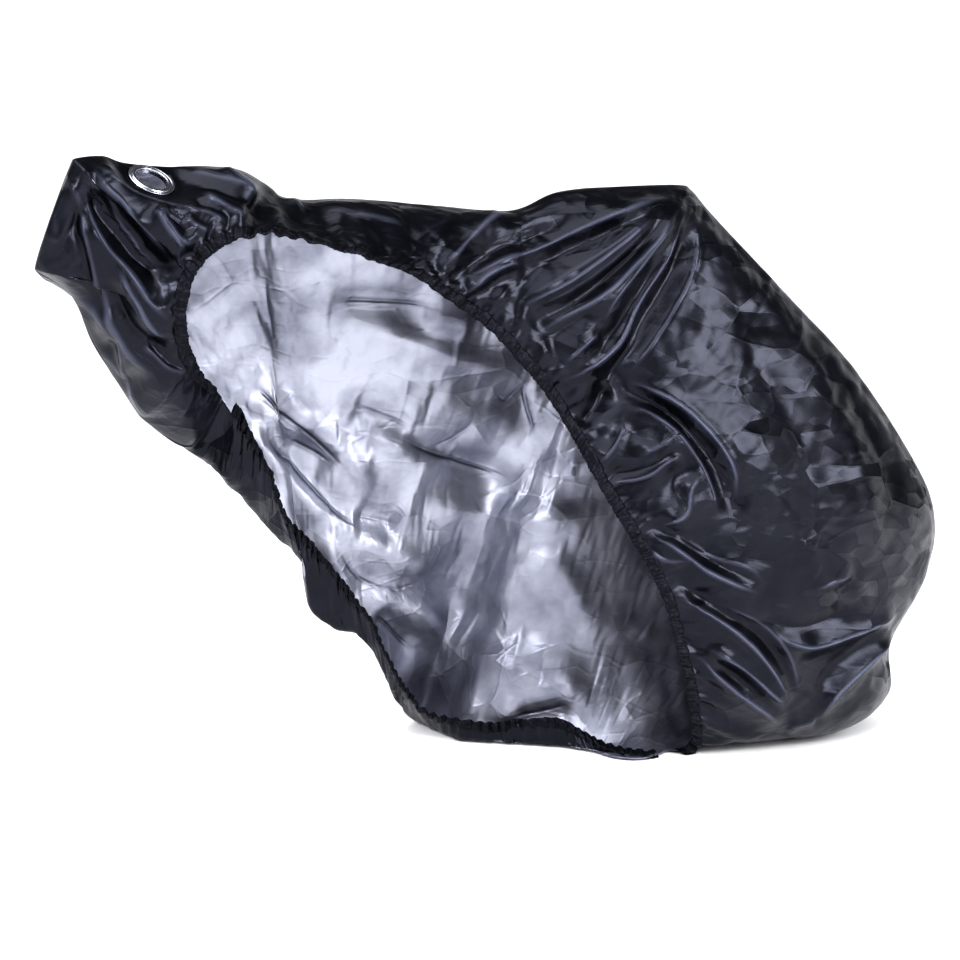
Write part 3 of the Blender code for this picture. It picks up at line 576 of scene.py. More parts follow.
def settle(grid, hold, growth, frames):
    """Give the cloth a little more length than its place allows and let it buckle and
    sag. hold is 1 where it is held fast, and less where it may move away from its place."""
    stations, rows = grid.shape[:2]
    index = np.arange(stations * rows).reshape(stations, rows)
    faces = np.stack((index[:-1, :-1], index[1:, :-1], index[1:, 1:], index[:-1, 1:]), axis=-1)
    mesh = bpy.data.meshes.new("settling")
    mesh.from_pydata(grid.reshape(-1, 3).tolist(), [], faces.reshape(-1, 4).tolist())
    piece = bpy.data.objects.new("settling", mesh)
    scene = bpy.context.scene
    scene.collection.objects.link(piece)
    held = piece.vertex_groups.new(name="held")
    levels = np.round(hold.reshape(-1) * 25) / 25       # 25 steps of hold are plenty
    for level in np.unique(levels):
        held.add(np.flatnonzero(levels == level).tolist(), float(level), "REPLACE")
    cloth = piece.modifiers.new("cloth", "CLOTH")
    for name, value in SETTLE.items():
        setattr(cloth.settings, name, value)
    cloth.settings.shrink_min = -growth
    cloth.settings.effector_weights.gravity = 0.3
    cloth.collision_settings.use_collision = False
    cloth.point_cache.frame_start, cloth.point_cache.frame_end = 1, frames
    for step in range(1, frames + 1):
        scene.frame_set(step)
    shape = piece.evaluated_get(bpy.context.evaluated_depsgraph_get()).data
    made = np.empty(stations * rows * 3)
    shape.vertices.foreach_get("co", made)
    bpy.data.objects.remove(piece, do_unlink=True)
    bpy.data.meshes.remove(mesh)
    scene.frame_set(1)
    return made.reshape(stations, rows, 3)


def folded_surface(stations, near_rows, far_rows):
    """The cover's outside with its main folds, each point's distance from the seam, and
    the marks of the folds."""
    grid = base_surface(stations, near_rows, far_rows)
    rows = np.arange(grid.shape[1])
    _, down = lengths_along(grid)
    from_seam = np.abs(down - down[:, near_rows - 1:near_rows])
    near_lift, near_marks = folds_on(grid, "near")
    far_lift, far_marks = folds_on(grid, "far")
    lift = np.where(rows < near_rows, near_lift, far_lift)
    marks = np.where((rows < near_rows)[:, None], near_marks, far_marks)
    inner = np.clip(from_seam / SEAM_CALM, 0.0, 1.0)
    marks[:, :, 1::2] *= inner[:, :, None]
    return grid + (lift * inner)[:, :, None] * outward(grid), from_seam, marks


def buckles(growth, frames):
    """How far the cloth moves when it settles, worked out on a coarser grid and spread
    smoothly over the fine one."""
    coarse, from_seam, _ = folded_surface(COARSE_STATIONS, COARSE_NEAR, COARSE_FAR)
    # held loosely, more firmly along the seam, and fast at the hems and both ends
    hold = 0.25 + 0.6 * np.exp(-(from_seam / 0.02) ** 2)
    hold[:, 0] = hold[:, -1] = hold[0] = hold[-1] = 1.0
    moved = settle(coarse, hold, growth, frames) - coarse
    # above its hem the open side is drawn tight, so it takes a small share of the buckles
    _, down = lengths_along(coarse)
    near_hem = np.exp(-(down / 0.06) ** 2)
    rows = np.arange(coarse.shape[1])
    share = np.where(rows < COARSE_NEAR, 0.30 + 0.60 * near_hem, 0.65)
    moved = moved * (share * np.clip(from_seam / 0.05, 0.0, 1.0))[:, :, None]
    station = np.linspace(0.0, COARSE_STATIONS - 1, STATIONS)
    row = np.concatenate((np.linspace(0.0, COARSE_NEAR - 1, NEAR_ROWS),
                          np.linspace(COARSE_NEAR - 1, COARSE_NEAR + COARSE_FAR - 2, FAR_ROWS)[1:]))
    return between_rows(between_rows(moved, station).swapaxes(0, 1), row).swapaxes(0, 1)


def round_eyelet(grid):
    """Each point's place round the eyelet, in the eyelet's plane, and its height above
    that plane."""
    normal = np.array(EYELET_NORMAL)
    offset = grid - np.array(EYELET_CENTRE)
    height = offset @ normal
    return offset - height[:, :, None] * normal, height


def press_flat(grid, seam_row):
    """Lay the cloth round the eyelet in the eyelet's plane."""
    flat, above = round_eyelet(grid)
    start, end = FLAT_ROUND
    share = eased((start - np.linalg.norm(flat, axis=2)) / (start - end))
    beyond_seam = np.arange(grid.shape[1]) > seam_row
    above = np.where(beyond_seam, np.maximum(above, 0.0), above)
    return grid - (share * above)[:, :, None] * np.array(EYELET_NORMAL)


@functools.lru_cache(maxsize=2)
def cover_grid(growth, crease_depth, crease_size, spacing, height):
    """The cover's outside with all its folds, as a grid that the pieces share, and the
    marks of the folds."""
    grid, from_seam, marks = folded_surface(STATIONS, NEAR_ROWS, FAR_ROWS)
    seam_row = NEAR_ROWS - 1
    rows = np.arange(grid.shape[1])
    grid = grid + buckles(growth, SETTLE_FRAMES)
    normal = outward(grid)
    _, down = lengths_along(grid)
    from_near, from_far = down, down[:, -1:] - down
    # the seam and the ends of the opening lie calmer
    lift = crumple(grid, crease_depth, crease_size) * np.clip(0.25 + from_seam / 0.040, 0.0, 1.0)
    near_gather = puckers(grid, from_near, 0, spacing, height, 1.0)
    far_gather = puckers(grid, from_far, -1, 0.7 * spacing, 1.2 * height, 0.45)
    lift = lift + np.where(rows <= seam_row, near_gather, far_gather)
    ends = np.minimum(np.arange(STATIONS), STATIONS - 1 - np.arange(STATIONS)) / 6.0
    lift = lift * np.clip(ends, 0.0, 1.0)[:, None]
    grid = press_flat(grid + lift[:, :, None] * normal, seam_row)
    grid[:, :, 2] = np.maximum(grid[:, :, 2], LOWEST + 0.0005 - FLOOR)
    return grid, marks


def add_node(tree, kind, settings=None, values=None, links=None):
    """Add a shader node with its settings, its sockets' values and its links."""
    node = tree.nodes.new("ShaderNode" + kind)
    for name, value in (settings or {}).items():
        setattr(node, name, value)
    for socket, value in (values or {}).items():
        node.inputs[socket].default_value = value
    for socket, source in (links or {}).items():
        tree.links.new(source, node.inputs[socket])
    return node


def new_material(name, values):
    """A material with its Principled shader, whose sockets take the given values."""
    made = bpy.data.materials.new(name)
    made.use_nodes = True
    shader = made.node_tree.nodes["Principled BSDF"]
    for socket, value in values.items():
        shader.inputs[socket].default_value = value
    return made, made.node_tree, shader


def along_folds(tree, fold, reach, value):
    """A value on the ridges or the troughs, from the cloth's marks. It dies out over the
    reach, in metres, to both sides of each fold's line."""
    most = None
    for lane in range(LANES):
        place, sharp = (
            add_node(tree, "Attribute", {"attribute_name": f"{fold}_{lane}_{part}"}).outputs["Fac"]
            for part in ("distance", "sharpness"))
        away = add_node(tree, "Math", {"operation": "ABSOLUTE"}, None, {0: place})
        crest = add_node(tree, "MapRange", {"interpolation_type": "SMOOTHSTEP"},
                         {"From Max": reach, "To Min": 1.0, "To Max": 0.0},
                         {"Value": away.outputs[0]})
        shown = add_node(tree, "Math", {"operation": "MULTIPLY"}, None,
                         {0: crest.outputs["Result"], 1: sharp}).outputs[0]
        most = shown if most is None else add_node(
            tree, "Math", {"operation": "MAXIMUM"}, None, {0: most, 1: shown}).outputs[0]
    return add_node(tree, "Math", {"operation": "MULTIPLY"}, {1: value}, {0: most}).outputs[0]


def fold_crests(tree, height):
    """Height in metres of the sharp crests on ridges, and of the softer ones in troughs."""
    ridges = along_folds(tree, "ridge", 0.0048, height)
    troughs = along_folds(tree, "trough", 0.0060, -0.15 * height)
    return add_node(tree, "Math", {"operation": "ADD"}, None, {0: ridges, 1: troughs}).outputs[0]


def facet_layer(tree, place, size, turn):
    """Straight-edged facets about a size in metres apart, longer one way, with edges that
    wander a little. Gives a random lean for each facet, and a line where facets meet."""
    bend = add_node(tree, "TexNoise", values={"Scale": 0.9 / size, "Detail": 0.0},
                    links={"Vector": place})
    moved = add_node(tree, "VectorMath", {"operation": "MULTIPLY_ADD"}, {1: (0.22 * size,) * 3},
                     {0: bend.outputs["Color"], 2: place})
    turned = add_node(tree, "Mapping",
                      values={"Rotation": (0.2, turn, 0.0), "Scale": (0.5, 1.0, 1.0)},
                      links={"Vector": moved.outputs[0]}).outputs["Vector"]
    cells = add_node(tree, "TexVoronoi", values={"Scale": 1.0 / size}, links={"Vector": turned})
    edges = add_node(tree, "TexVoronoi", {"feature": "DISTANCE_TO_EDGE"}, {"Scale": 1.0 / size},
                     {"Vector": turned})
    lean = add_node(tree, "VectorMath", {"operation": "SUBTRACT"}, {1: (0.5, 0.5, 0.5)},
                    {0: cells.outputs["Color"]})
    line = add_node(tree, "MapRange", {"interpolation_type": "SMOOTHSTEP"},
                    {"From Max": EDGE_WIDTH / size, "To Min": 1.0, "To Max": 0.0},
                    {"Value": edges.outputs["Distance"]})
    return lean.outputs[0], line.outputs["Result"]


def creased_normal(tree, facet, tilt, crest, fold, weave):
    """Normals of cloth that was crumpled and pulled flat again: straight-edged facets,
    each tilted its own way, a finer set inside them, a thin crest where they meet, sharp
    crests on the folds, and the weave over all. Facet, crest, fold and weave are sizes in
    metres, tilt is the sine of a facet's usual angle."""
    place = add_node(tree, "TexCoord").outputs["Object"]
    normal = add_node(tree, "NewGeometry").outputs["Normal"]
    # pulled flat in some places and left creased in others, about three facets across
    calm = add_node(tree, "TexNoise", values={"Scale": 0.35 / facet, "Detail": 1.0},
                    links={"Vector": place})
    patchy = add_node(tree, "MapRange",
                      values={"From Min": 0.40, "From Max": 0.60, "To Min": 0.35},
                      links={"Value": calm.outputs["Fac"]}).outputs["Result"]
    lines = []
    for size, share, turn in ((facet, 1.0, 0.6), (0.42 * facet, 0.6, -0.5)):
        lean, line = facet_layer(tree, place, size, turn)
        lines.append(line)
        amount = add_node(tree, "Math", {"operation": "MULTIPLY"}, {1: 2.0 * tilt * share},
                          {0: patchy})
        scaled = add_node(tree, "VectorMath", {"operation": "SCALE"}, None,
                          {0: lean, "Scale": amount.outputs[0]})
        normal = add_node(tree, "VectorMath", {"operation": "ADD"}, None,
                          {0: normal, 1: scaled.outputs[0]}).outputs[0]
    even = add_node(tree, "VectorMath", {"operation": "NORMALIZE"}, None, {0: normal})
    edges = add_node(tree, "Math", {"operation": "MULTIPLY_ADD"}, {1: 0.6},
                     {0: lines[1], 2: lines[0]})
    crests = add_node(tree, "Math", {"operation": "MULTIPLY"}, None,
                      {0: edges.outputs[0], 1: patchy})
    height = add_node(tree, "Math", {"operation": "MULTIPLY_ADD"}, {1: crest},
                      {0: crests.outputs[0], 2: fold_crests(tree, fold)})
    pressed = add_node(tree, "Bump", values={"Strength": 1.0, "Distance": 1.0},
                       links={"Height": height.outputs[0], "Normal": even.outputs[0]})
    threads = add_node(tree, "TexNoise", values={"Scale": 1.0 / weave, "Detail": 1.0},
                       links={"Vector": place})
    return add_node(tree, "Bump", values={"Strength": 0.12, "Distance": 0.25 * weave},
                    links={"Height": threads.outputs["Fac"], "Normal": pressed.outputs["Normal"]})


def patches(tree, per_metre, detail, ends):
    """A colour that varies softly between two, each given with its place on the ramp, in
    patches of which so many lie along a metre. Gives the colour and the noise behind it."""
    place = add_node(tree, "TexCoord").outputs["Object"]
    noise = add_node(tree, "TexNoise", values={"Scale": per_metre, "Detail": detail},
                     links={"Vector": place}).outputs["Fac"]
    tint = add_node(tree, "ValToRGB", links={"Fac": noise})
    for element, (colour, position) in zip(tint.color_ramp.elements, ends):
        element.color, element.position = (*colour, 1.0), position
    return tint.outputs["Color"], noise


def black_taffeta(name, dark, light, crest):
    """Woven polyester taffeta, dyed black and calendered, with a soft blue gloss on the facets that
    its creases turn to the light. Its troughs are painted near black as shade, and its ridges carry a
    pale painted highlight."""
    made, tree, shader = new_material(name, {
        "IOR": 1.53,
        "Specular IOR Level": 0.42,
        "Specular Tint": (*linear(COLD_GLOSS), 1.0),
        "Sheen Weight": 0.03,
        "Sheen Roughness": 0.35,
        "Sheen Tint": (*linear("#8f92c8"), 1.0),
    })
    # dye and coating vary softly over about 60 mm
    tint, cloud = patches(tree, 16.0, 3.0, ((dark, 0.30), (light, 0.72)))
    # painted highlight: the pale crest colour is mixed in along the ridges
    painted_ridge_highlight = add_node(tree, "Mix", {"data_type": "RGBA"}, {7: (*crest, 1.0)},
                     {0: along_folds(tree, "ridge", 0.0055, 0.85), 6: tint}).outputs[2]
    # painted shade: the base colour is turned black along the troughs
    painted_trough_shade = add_node(tree, "Mix", {"data_type": "RGBA"}, {7: (0.0, 0.0, 0.0, 1.0)},
                      {0: along_folds(tree, "trough", 0.0120, 0.95), 6: painted_ridge_highlight}).outputs[2]
    tree.links.new(painted_trough_shade, shader.inputs["Base Color"])
    gloss = add_node(tree, "MapRange", links={"Value": cloud}, values={
        "From Min": 0.3, "From Max": 0.7, "To Min": 0.28, "To Max": 0.36})
    tree.links.new(gloss.outputs["Result"], shader.inputs["Roughness"])
    bump = creased_normal(tree, 0.060, 0.18, 0.0002, 0.0032, WEAVE)
    tree.links.new(bump.outputs["Normal"], shader.inputs["Normal"])
    return made


def silver_coating(name, colour, shade, painted_shade):
    """Polyurethane coating with aluminium pigment on the inside of the cloth: a satin metal look,
    broken up by the creases pressed into it, and dimmed with painted shade towards the floor and in
    its valleys."""
    made, tree, shader = new_material(name, {"Metallic": 0.85, "Roughness": 0.46})
    # the coating is a little thinner in patches of about 80 mm
    tint, _ = patches(tree, 12.0, 4.0, ((shade, 0.30), (colour, 0.62)))
    place = add_node(tree, "TexCoord").outputs["Object"]
    parts = add_node(tree, "SeparateXYZ", links={"Vector": place})
    # painted shade, strongest near the floor and fading out higher up
    low = add_node(tree, "MapRange", {"interpolation_type": "SMOOTHSTEP"},
                   {"From Min": -0.90, "From Max": -0.40, "To Min": 0.45, "To Max": 0.0},
                   {"Value": parts.outputs["Z"]})
    # painted shade, deepening towards the floor and in the valleys, which are the ridges of the
    # outside
    for amount in (low.outputs["Result"], along_folds(tree, "ridge", 0.0110, 0.9)):
        tint = add_node(tree, "Mix", {"data_type": "RGBA"}, {7: (*painted_shade, 1.0)},
                        {0: amount, 6: tint}).outputs[2]
    tree.links.new(tint, shader.inputs["Base Color"])
    bump = creased_normal(tree, 0.070, 0.12, 0.0004, -0.0022, WEAVE)
    tree.links.new(bump.outputs["Normal"], shader.inputs["Normal"])
    return made


def ribbed_elastic(name, colour, speck):
    """Knitted elastic band, drawn up: black with grey specks where the threads catch
    the light."""
    made, tree, shader = new_material(name, {
        "Roughness": 0.50,
        "Specular IOR Level": 0.3,
        "Specular Tint": (*linear(COLD_GLOSS), 1.0),
    })
    # specks about 4 mm apart
    tint, grain = patches(tree, 260.0, 2.0, ((colour, 0.50), (speck, 0.75)))
    tree.links.new(tint, shader.inputs["Base Color"])
    bump = add_node(tree, "Bump", values={"Strength": 0.5, "Distance": 0.0008},
                    links={"Height": grain})
    tree.links.new(bump.outputs["Normal"], shader.inputs["Normal"])
    return made


def nickel_plate(name, colour):
    """Stamped brass ring, nickel plated: a soft bright mirror with faint hairlines from
    handling."""
    made, tree, shader = new_material(name, {"Base Color": (*colour, 1.0), "Metallic": 1.0})
    place = add_node(tree, "TexCoord").outputs["Object"]
    # hairlines, drawn 2 mm apart so that they show
    wear = add_node(tree, "TexNoise", values={"Scale": 500.0, "Detail": 3.0},
                    links={"Vector": place})
    rough = add_node(tree, "MapRange", values={"To Min": 0.20, "To Max": 0.34},
                     links={"Value": wear.outputs["Fac"]})
    tree.links.new(rough.outputs["Result"], shader.inputs["Roughness"])
    return made


def new_mesh(name, points, faces):
    mesh = bpy.data.meshes.new(name)
    mesh.from_pydata(points, [], faces)
    mesh.shade_smooth()
    return mesh


def add_piece(name, mesh, finishes, slot, *nodes):
    """Link a mesh with its materials as a piece of the cover that stands for CAD nodes."""
    piece = bpy.data.objects.new(name, mesh)
    bpy.context.scene.collection.objects.link(piece)
    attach(piece, "root")
    if nodes:
        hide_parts(*nodes)
    for finish in finishes:
        mesh.materials.append(finish)


def shell_mesh(name, outside, thickness, keep, from_hem, hem_width, marks):
    """A closed sheet under a grid of points. Its outside and rim take material 0, its
    inside material 1, and the turned-in hem on its inside material 0 again."""
    stations, rows = outside.shape[:2]
    inside = outside - thickness * outward(outside)
    points = np.concatenate((outside.reshape(-1, 3), inside.reshape(-1, 3)))
    under = stations * rows
    i, j = np.meshgrid(np.arange(stations - 1), np.arange(rows - 1), indexing="ij")
    a, b = (i * rows + j)[keep], ((i + 1) * rows + j)[keep]
    outer = np.stack((a, b, b + 1, a + 1), axis=1)
    inner = under + np.stack((a, a + 1, b + 1, b), axis=1)
    # the rim closes each outer edge that only one face has
    edges = np.concatenate([outer[:, [k, (k + 1) % 4]] for k in range(4)])
    forward = edges[:, 0] * under + edges[:, 1]
    backward = edges[:, 1] * under + edges[:, 0]
    rim = edges[~np.isin(forward, backward)]
    side = np.stack((rim[:, 1], rim[:, 0], under + rim[:, 0], under + rim[:, 1]), axis=1)
    turned_in = (from_hem[:-1, :-1] < hem_width)[keep]
    slots = np.concatenate((np.zeros(len(outer)), np.where(turned_in, 0, 1),
                            np.zeros(len(side))))
    faces = np.concatenate((outer, inner, side))
    used, renumbered = np.unique(faces, return_inverse=True)
    mesh = new_mesh(name, points[used].tolist(), renumbered.reshape(faces.shape).tolist())
    mesh.polygons.foreach_set("material_index", slots.astype(np.int32))
    for k, mark in enumerate(MARKS):
        values = np.tile(marks[:, :, k].reshape(-1), 2)[used]
        mesh.attributes.new(mark, "FLOAT", "POINT").data.foreach_set("value", values)
    mesh.update()
    return mesh


def open_for_eyelet(grid, radius):
    """Which faces of the open side's grid stay round the eyelet. The points next to the
    hole are moved onto its edge."""
    flat, height = round_eyelet(grid)
    away = np.linalg.norm(flat, axis=2)
    away = np.where(np.abs(height) < 0.02, away, np.inf)      # the cloth at the eyelet alone
    stays = away > radius - 0.002
    # a face stays with all four of its points, and a point next to a lost face is moved
    keep = stays[:-1, :-1] & stays[1:, :-1] & stays[:-1, 1:] & stays[1:, 1:]
    padded = np.pad(keep, 1, constant_values=True)
    all_kept = padded[:-1, :-1] & padded[1:, :-1] & padded[:-1, 1:] & padded[1:, 1:]
    edge = stays & ~all_kept
    moved = (np.array(EYELET_CENTRE) + height[:, :, None] * np.array(EYELET_NORMAL)
             + flat * (radius / np.maximum(away, 1e-6))[:, :, None])
    return keep, np.where(edge[:, :, None], moved, grid)


def tube_mesh(name, line, inward, outward_way, width, thickness, spacing):
    """A flat casing drawn up on its elastic: an oval tube along a line, puckered unevenly
    across its length and closed at both ends."""
    along = running(step_lengths(line))
    count = int(along[-1] / (spacing / TUBE_STEPS))
    even = np.linspace(0.0, along[-1], count)
    places = np.interp(even, along, np.arange(len(line)))
    centre = between_rows(line, places)
    across, up = unit(between_rows(inward, places)), unit(between_rows(outward_way, places))
    run = even[:, None]
    angle = np.linspace(0.0, 2 * np.pi, TUBE_SIDES, endpoint=False)[None, :]
    # each pucker lies, leans and bulges in its own way
    wander = 1.2 * spacing * value_noise(run / (2.5 * spacing), run * 0.0, 61)
    phase = 2 * np.pi * (run + wander) / spacing
    side = value_noise(run / (0.6 * spacing), 3.0 * np.cos(angle) + 5.0, 67)
    strong = 0.6 + 0.5 * value_noise(run / (5.0 * spacing), run * 0.0 + 2.0, 63)
    pucker = strong * np.sin(phase + 1.2 * np.cos(angle)) + 1.1 * side
    half_width = 0.5 * width * np.cos(angle) * (1.0 + 0.06 * pucker)
    half_thickness = 0.5 * thickness * np.sin(angle) * (1.0 + 0.40 * pucker)
    ring = (centre[:, None, :] + half_width[:, :, None] * across[:, None, :]
            + half_thickness[:, :, None] * up[:, None, :])
    ring[:, :, 2] = np.maximum(ring[:, :, 2], 0.0005 - FLOOR)
    faces = []
    for i in range(count - 1):
        for k in range(TUBE_SIDES):
            a, b = i * TUBE_SIDES + k, i * TUBE_SIDES + (k + 1) % TUBE_SIDES
            faces.append((a, b, b + TUBE_SIDES, a + TUBE_SIDES))
    faces.append(tuple(range(TUBE_SIDES))[::-1])
    faces.append(tuple(range((count - 1) * TUBE_SIDES, count * TUBE_SIDES)))
    return new_mesh(name, ring.reshape(-1, 3).tolist(), faces)


def ring_mesh(name, profile):
    """A ring turned round the eyelet's axis from a closed profile of (radius, height)."""
    angle = np.linspace(0.0, 2 * np.pi, RING_STEPS, endpoint=False)
    points = [(r * np.cos(t), r * np.sin(t), h) for t in angle for r, h in profile]
    size = len(profile)
    faces = []
    for i in range(RING_STEPS):
        after = (i + 1) % RING_STEPS
        for k in range(size):
            a, b = i * size + k, i * size + (k + 1) % size
            c, d = after * size + (k + 1) % size, after * size + k
            faces.append((a, d, c, b))
    mesh = new_mesh(name, points, faces)
    turn = EYELET_NORMAL.to_track_quat("Z", "Y").to_matrix().to_4x4()
    turn.translation = EYELET_CENTRE
    mesh.transform(turn)
    return mesh


def rounded(corners, radius, steps=5):
    """A closed profile with its corners rounded. Each corner is (x, y)."""
    made = []
    count = len(corners)
    for k in range(count):
        before, at, after = (Vector(corners[(k + d) % count]) for d in (-1, 0, 1))
        reach = min(radius, 0.45 * (before - at).length, 0.45 * (after - at).length)
        start = at + (before - at).normalized() * reach
        end = at + (after - at).normalized() * reach
        for step in range(steps + 1):
            t = step / steps
            made.append(tuple((1 - t) ** 2 * start + 2 * t * (1 - t) * at + t * t * end))
    return made


def flat_ring(inner, outer, top, bottom):
    """The profile of a flat ring."""
    return (inner, top), (outer, top), (outer, bottom), (inner, bottom)


def add_floor(colour):
    """A wide pale floor, just under the cover."""
    level = -FLOOR - 0.001
    corners = ((-1, -1), (1, -1), (1, 1), (-1, 1))
    mesh = bpy.data.meshes.new("floor")
    mesh.from_pydata([(x * FLOOR_HALF, y * FLOOR_HALF, level) for x, y in corners], [],
                     [(0, 1, 2, 3)])
    floor = bpy.data.objects.new("floor", mesh)
    bpy.context.scene.collection.objects.link(floor)
    paint, _, _ = new_material("matt floor paint",
                               {"Base Color": (*colour, 1.0), "Roughness": 0.8})
    mesh.materials.append(paint)


def studio_world():
    """A white backdrop behind the cover, grey walls that run into the floor in a white
    curve, and a dark ceiling."""
    world = bpy.data.worlds.new("studio")
    world.use_nodes = True
    tree = world.node_tree
    way = add_node(tree, "TexCoord").outputs["Generated"]
    parts = add_node(tree, "SeparateXYZ", links={"Vector": way})
    # one towards the backdrop behind the cover, and zero towards the camera and the sides
    behind = add_node(tree, "MapRange", links={"Value": parts.outputs["Y"]}, values={
        "From Min": 0.10, "From Max": 0.45, "To Min": 0.0, "To Max": 1.0}).outputs["Result"]
    # the backdrop reaches higher than the walls and is brighter
    top = add_node(tree, "MapRange", values={"To Min": 0.40, "To Max": 0.70},
                   links={"Value": behind})
    low = add_node(tree, "MapRange", values={"From Min": 0.20, "To Min": 1.0, "To Max": 0.0},
                   links={"Value": parts.outputs["Z"], "From Max": top.outputs["Result"]})
    walls = add_node(tree, "MapRange", values={"To Min": 0.28, "To Max": 0.95},
                     links={"Value": behind})
    light = add_node(tree, "MapRange", values={"To Min": CEILING_SHADE},
                     links={"Value": low.outputs["Result"], "To Max": walls.outputs["Result"]})
    # the white curve over the floor's edge
    haze = add_node(tree, "MapRange", links={"Value": parts.outputs["Z"]}, values={
        "From Min": 0.02, "From Max": 0.20, "To Min": 0.92, "To Max": CEILING_SHADE})
    lit = add_node(tree, "Math", {"operation": "MAXIMUM"}, None,
                   {0: light.outputs["Result"], 1: haze.outputs["Result"]})
    back = tree.nodes["Background"]
    tree.links.new(lit.outputs[0], back.inputs["Strength"])
    back.inputs["Color"].default_value = (1.0, 1.0, 1.0, 1.0)
    return world


def add_lamp(name, kind, facing, settings):
    """A light with its settings that shines along a direction."""
    lamp = bpy.data.lights.new(name, kind)
    for setting, value in settings.items():
        setattr(lamp, setting, value)
    light = bpy.data.objects.new(name, lamp)
    light.rotation_euler = facing.to_track_quat("-Z", "Y").to_euler()
    bpy.context.scene.collection.objects.link(light)
    return light


def add_camera(lens):
    """The camera, at the photo's angle."""
    made = bpy.data.cameras.new("camera")
    made.lens, made.sensor_width = lens, 36.0
    camera = bpy.data.objects.new("camera", made)
    camera.location = CAMERA_PLACE
    camera.rotation_euler = np.radians(CAMERA_TURN)
    bpy.context.scene.collection.objects.link(camera)
    bpy.context.scene.camera = camera


def length_property(name, description, default):
    return bpy.props.FloatProperty(name=name, description=description, default=default,
                                   min=0.0, precision=4, unit="LENGTH")


def colour_property(name, description, hex_colour):
    return bpy.props.FloatVectorProperty(name=name, description=description, subtype="COLOR",
                                         size=3, min=0.0, max=1.0, default=linear(hex_colour))


class ClothSettings(bpy.types.PropertyGroup):
    """Sizes and colours of the cover's cloth and hems."""

    thickness: length_property("Thickness", "Thickness of the cloth as drawn", 0.0012)
    fullness: bpy.props.FloatProperty(
        name="Fullness", description="Extra length that the cloth buckles with",
        default=0.015, min=0.0, max=0.2)
    crease_depth: length_property("Crease depth", "Depth of the fine crumpling", 0.0015)
    crease_size: length_property("Crease size", "Distance between the creases", 0.075)
    gather_spacing: length_property(
        "Gather spacing", "Distance between the gathers at a hem", 0.026)
    gather_height: length_property("Gather height", "Height of the gathers at a hem", 0.0035)
    hem_width: length_property("Hem width", "Width of the elastic hem", 0.020)
    hem_thickness: length_property("Hem thickness", "Thickness of the drawn-up hem", 0.005)
    outside_dark: colour_property(
        "Outside, folds", "Cloth's outside where it is darkest", "#06070a")
    outside_light: colour_property(
        "Outside, facets", "Cloth's outside where it is palest", "#0e0f15")
    # colour of the painted highlight along the ridges
    outside_painted_highlight: colour_property(
        "Outside, painted ridge highlight", "Highlight painted along the cloth's ridges", "#5a5d6d")
    inside_light: colour_property("Inside", "Silver coating", "#b2b4c0")
    inside_dark: colour_property("Inside, thin", "Silver coating where it is thin", "#80828f")
    inside_painted_shade: colour_property(
        # colour of the painted shade on the silver coating
        "Inside, worn", "Painted shade on the silver coating, low down and in its valleys", "#5c5e6b")
    hem_colour: colour_property("Hem", "Elastic hem", "#050507")
    hem_speck: colour_property("Hem specks", "Threads that catch the light", "#23242b")


class EyeletSettings(bpy.types.PropertyGroup):
    """Sizes and colour of the lock eyelet."""

    hole_radius: length_property("Hole radius", "Radius of the eyelet's hole", 0.0215)
    rim_radius: length_property("Rim radius", "Radius of the eyelet's flange", 0.032)
    wall: length_property("Wall", "Thickness of the stamped metal", 0.0012)
    plating: colour_property("Plating", "Colour of the plated metal", "#b4b6c0")


class StageSettings(bpy.types.PropertyGroup):
    """The floor, the light and the camera."""

    floor_colour: colour_property("Floor", "Pale plain floor", "#fafafc")
    lens: bpy.props.FloatProperty(
        name="Lens", description="Focal length in millimetres",
        default=55.4, min=10.0, unit="CAMERA")
    key_power: bpy.props.FloatProperty(
        name="Ceiling light", description="Irradiance of the wide ceiling light",
        default=2.8, min=0.0)
    fill_power: bpy.props.FloatProperty(
        name="Softboxes", description="Power that the softboxes take their shares of",
        default=125.0, min=0.0, unit="POWER")


def shared_grid(settings):
    return cover_grid(settings.fullness, settings.crease_depth, settings.crease_size,
                      settings.gather_spacing, settings.gather_height)


class COVER_OT_cloth(bpy.types.Operator):
    """Make the two side panels, black outside and silver inside"""

    bl_idname = "cover.cloth"
    bl_label = "Side panels"
    bl_options = {"REGISTER", "UNDO"}

    def execute(self, context):
        cloth = context.scene.cover_cloth
        grid, marks = shared_grid(cloth)
        black = black_taffeta("woven black taffeta", cloth.outside_dark, cloth.outside_light,
                              cloth.outside_painted_highlight)
        silver = silver_coating("silver pigment coating", cloth.inside_light,
                                cloth.inside_dark, cloth.inside_painted_shade)
        near, far = grid[:, :NEAR_ROWS], grid[:, NEAR_ROWS - 1:]
        keep, near = open_for_eyelet(near, PATCH_RADIUS + FIT_GAP)
        everywhere = np.ones((far.shape[0] - 1, far.shape[1] - 1), bool)
        _, near_down = lengths_along(near)
        _, far_down = lengths_along(far)
        for name, side, kept, from_hem, side_marks, slot, node in (
                ("left_cloth", near, keep, near_down, marks[:, :NEAR_ROWS],
                 "black_cloth", "left_panel"),
                ("right_cloth", far, everywhere, far_down[:, -1:] - far_down,
                 marks[:, NEAR_ROWS - 1:], "silver_backed_cloth", "right_panel")):
            mesh = shell_mesh(name, side, cloth.thickness, kept, from_hem, cloth.hem_width,
                              side_marks)
            add_piece(name, mesh, (black, silver), slot, node)
        return {"FINISHED"}


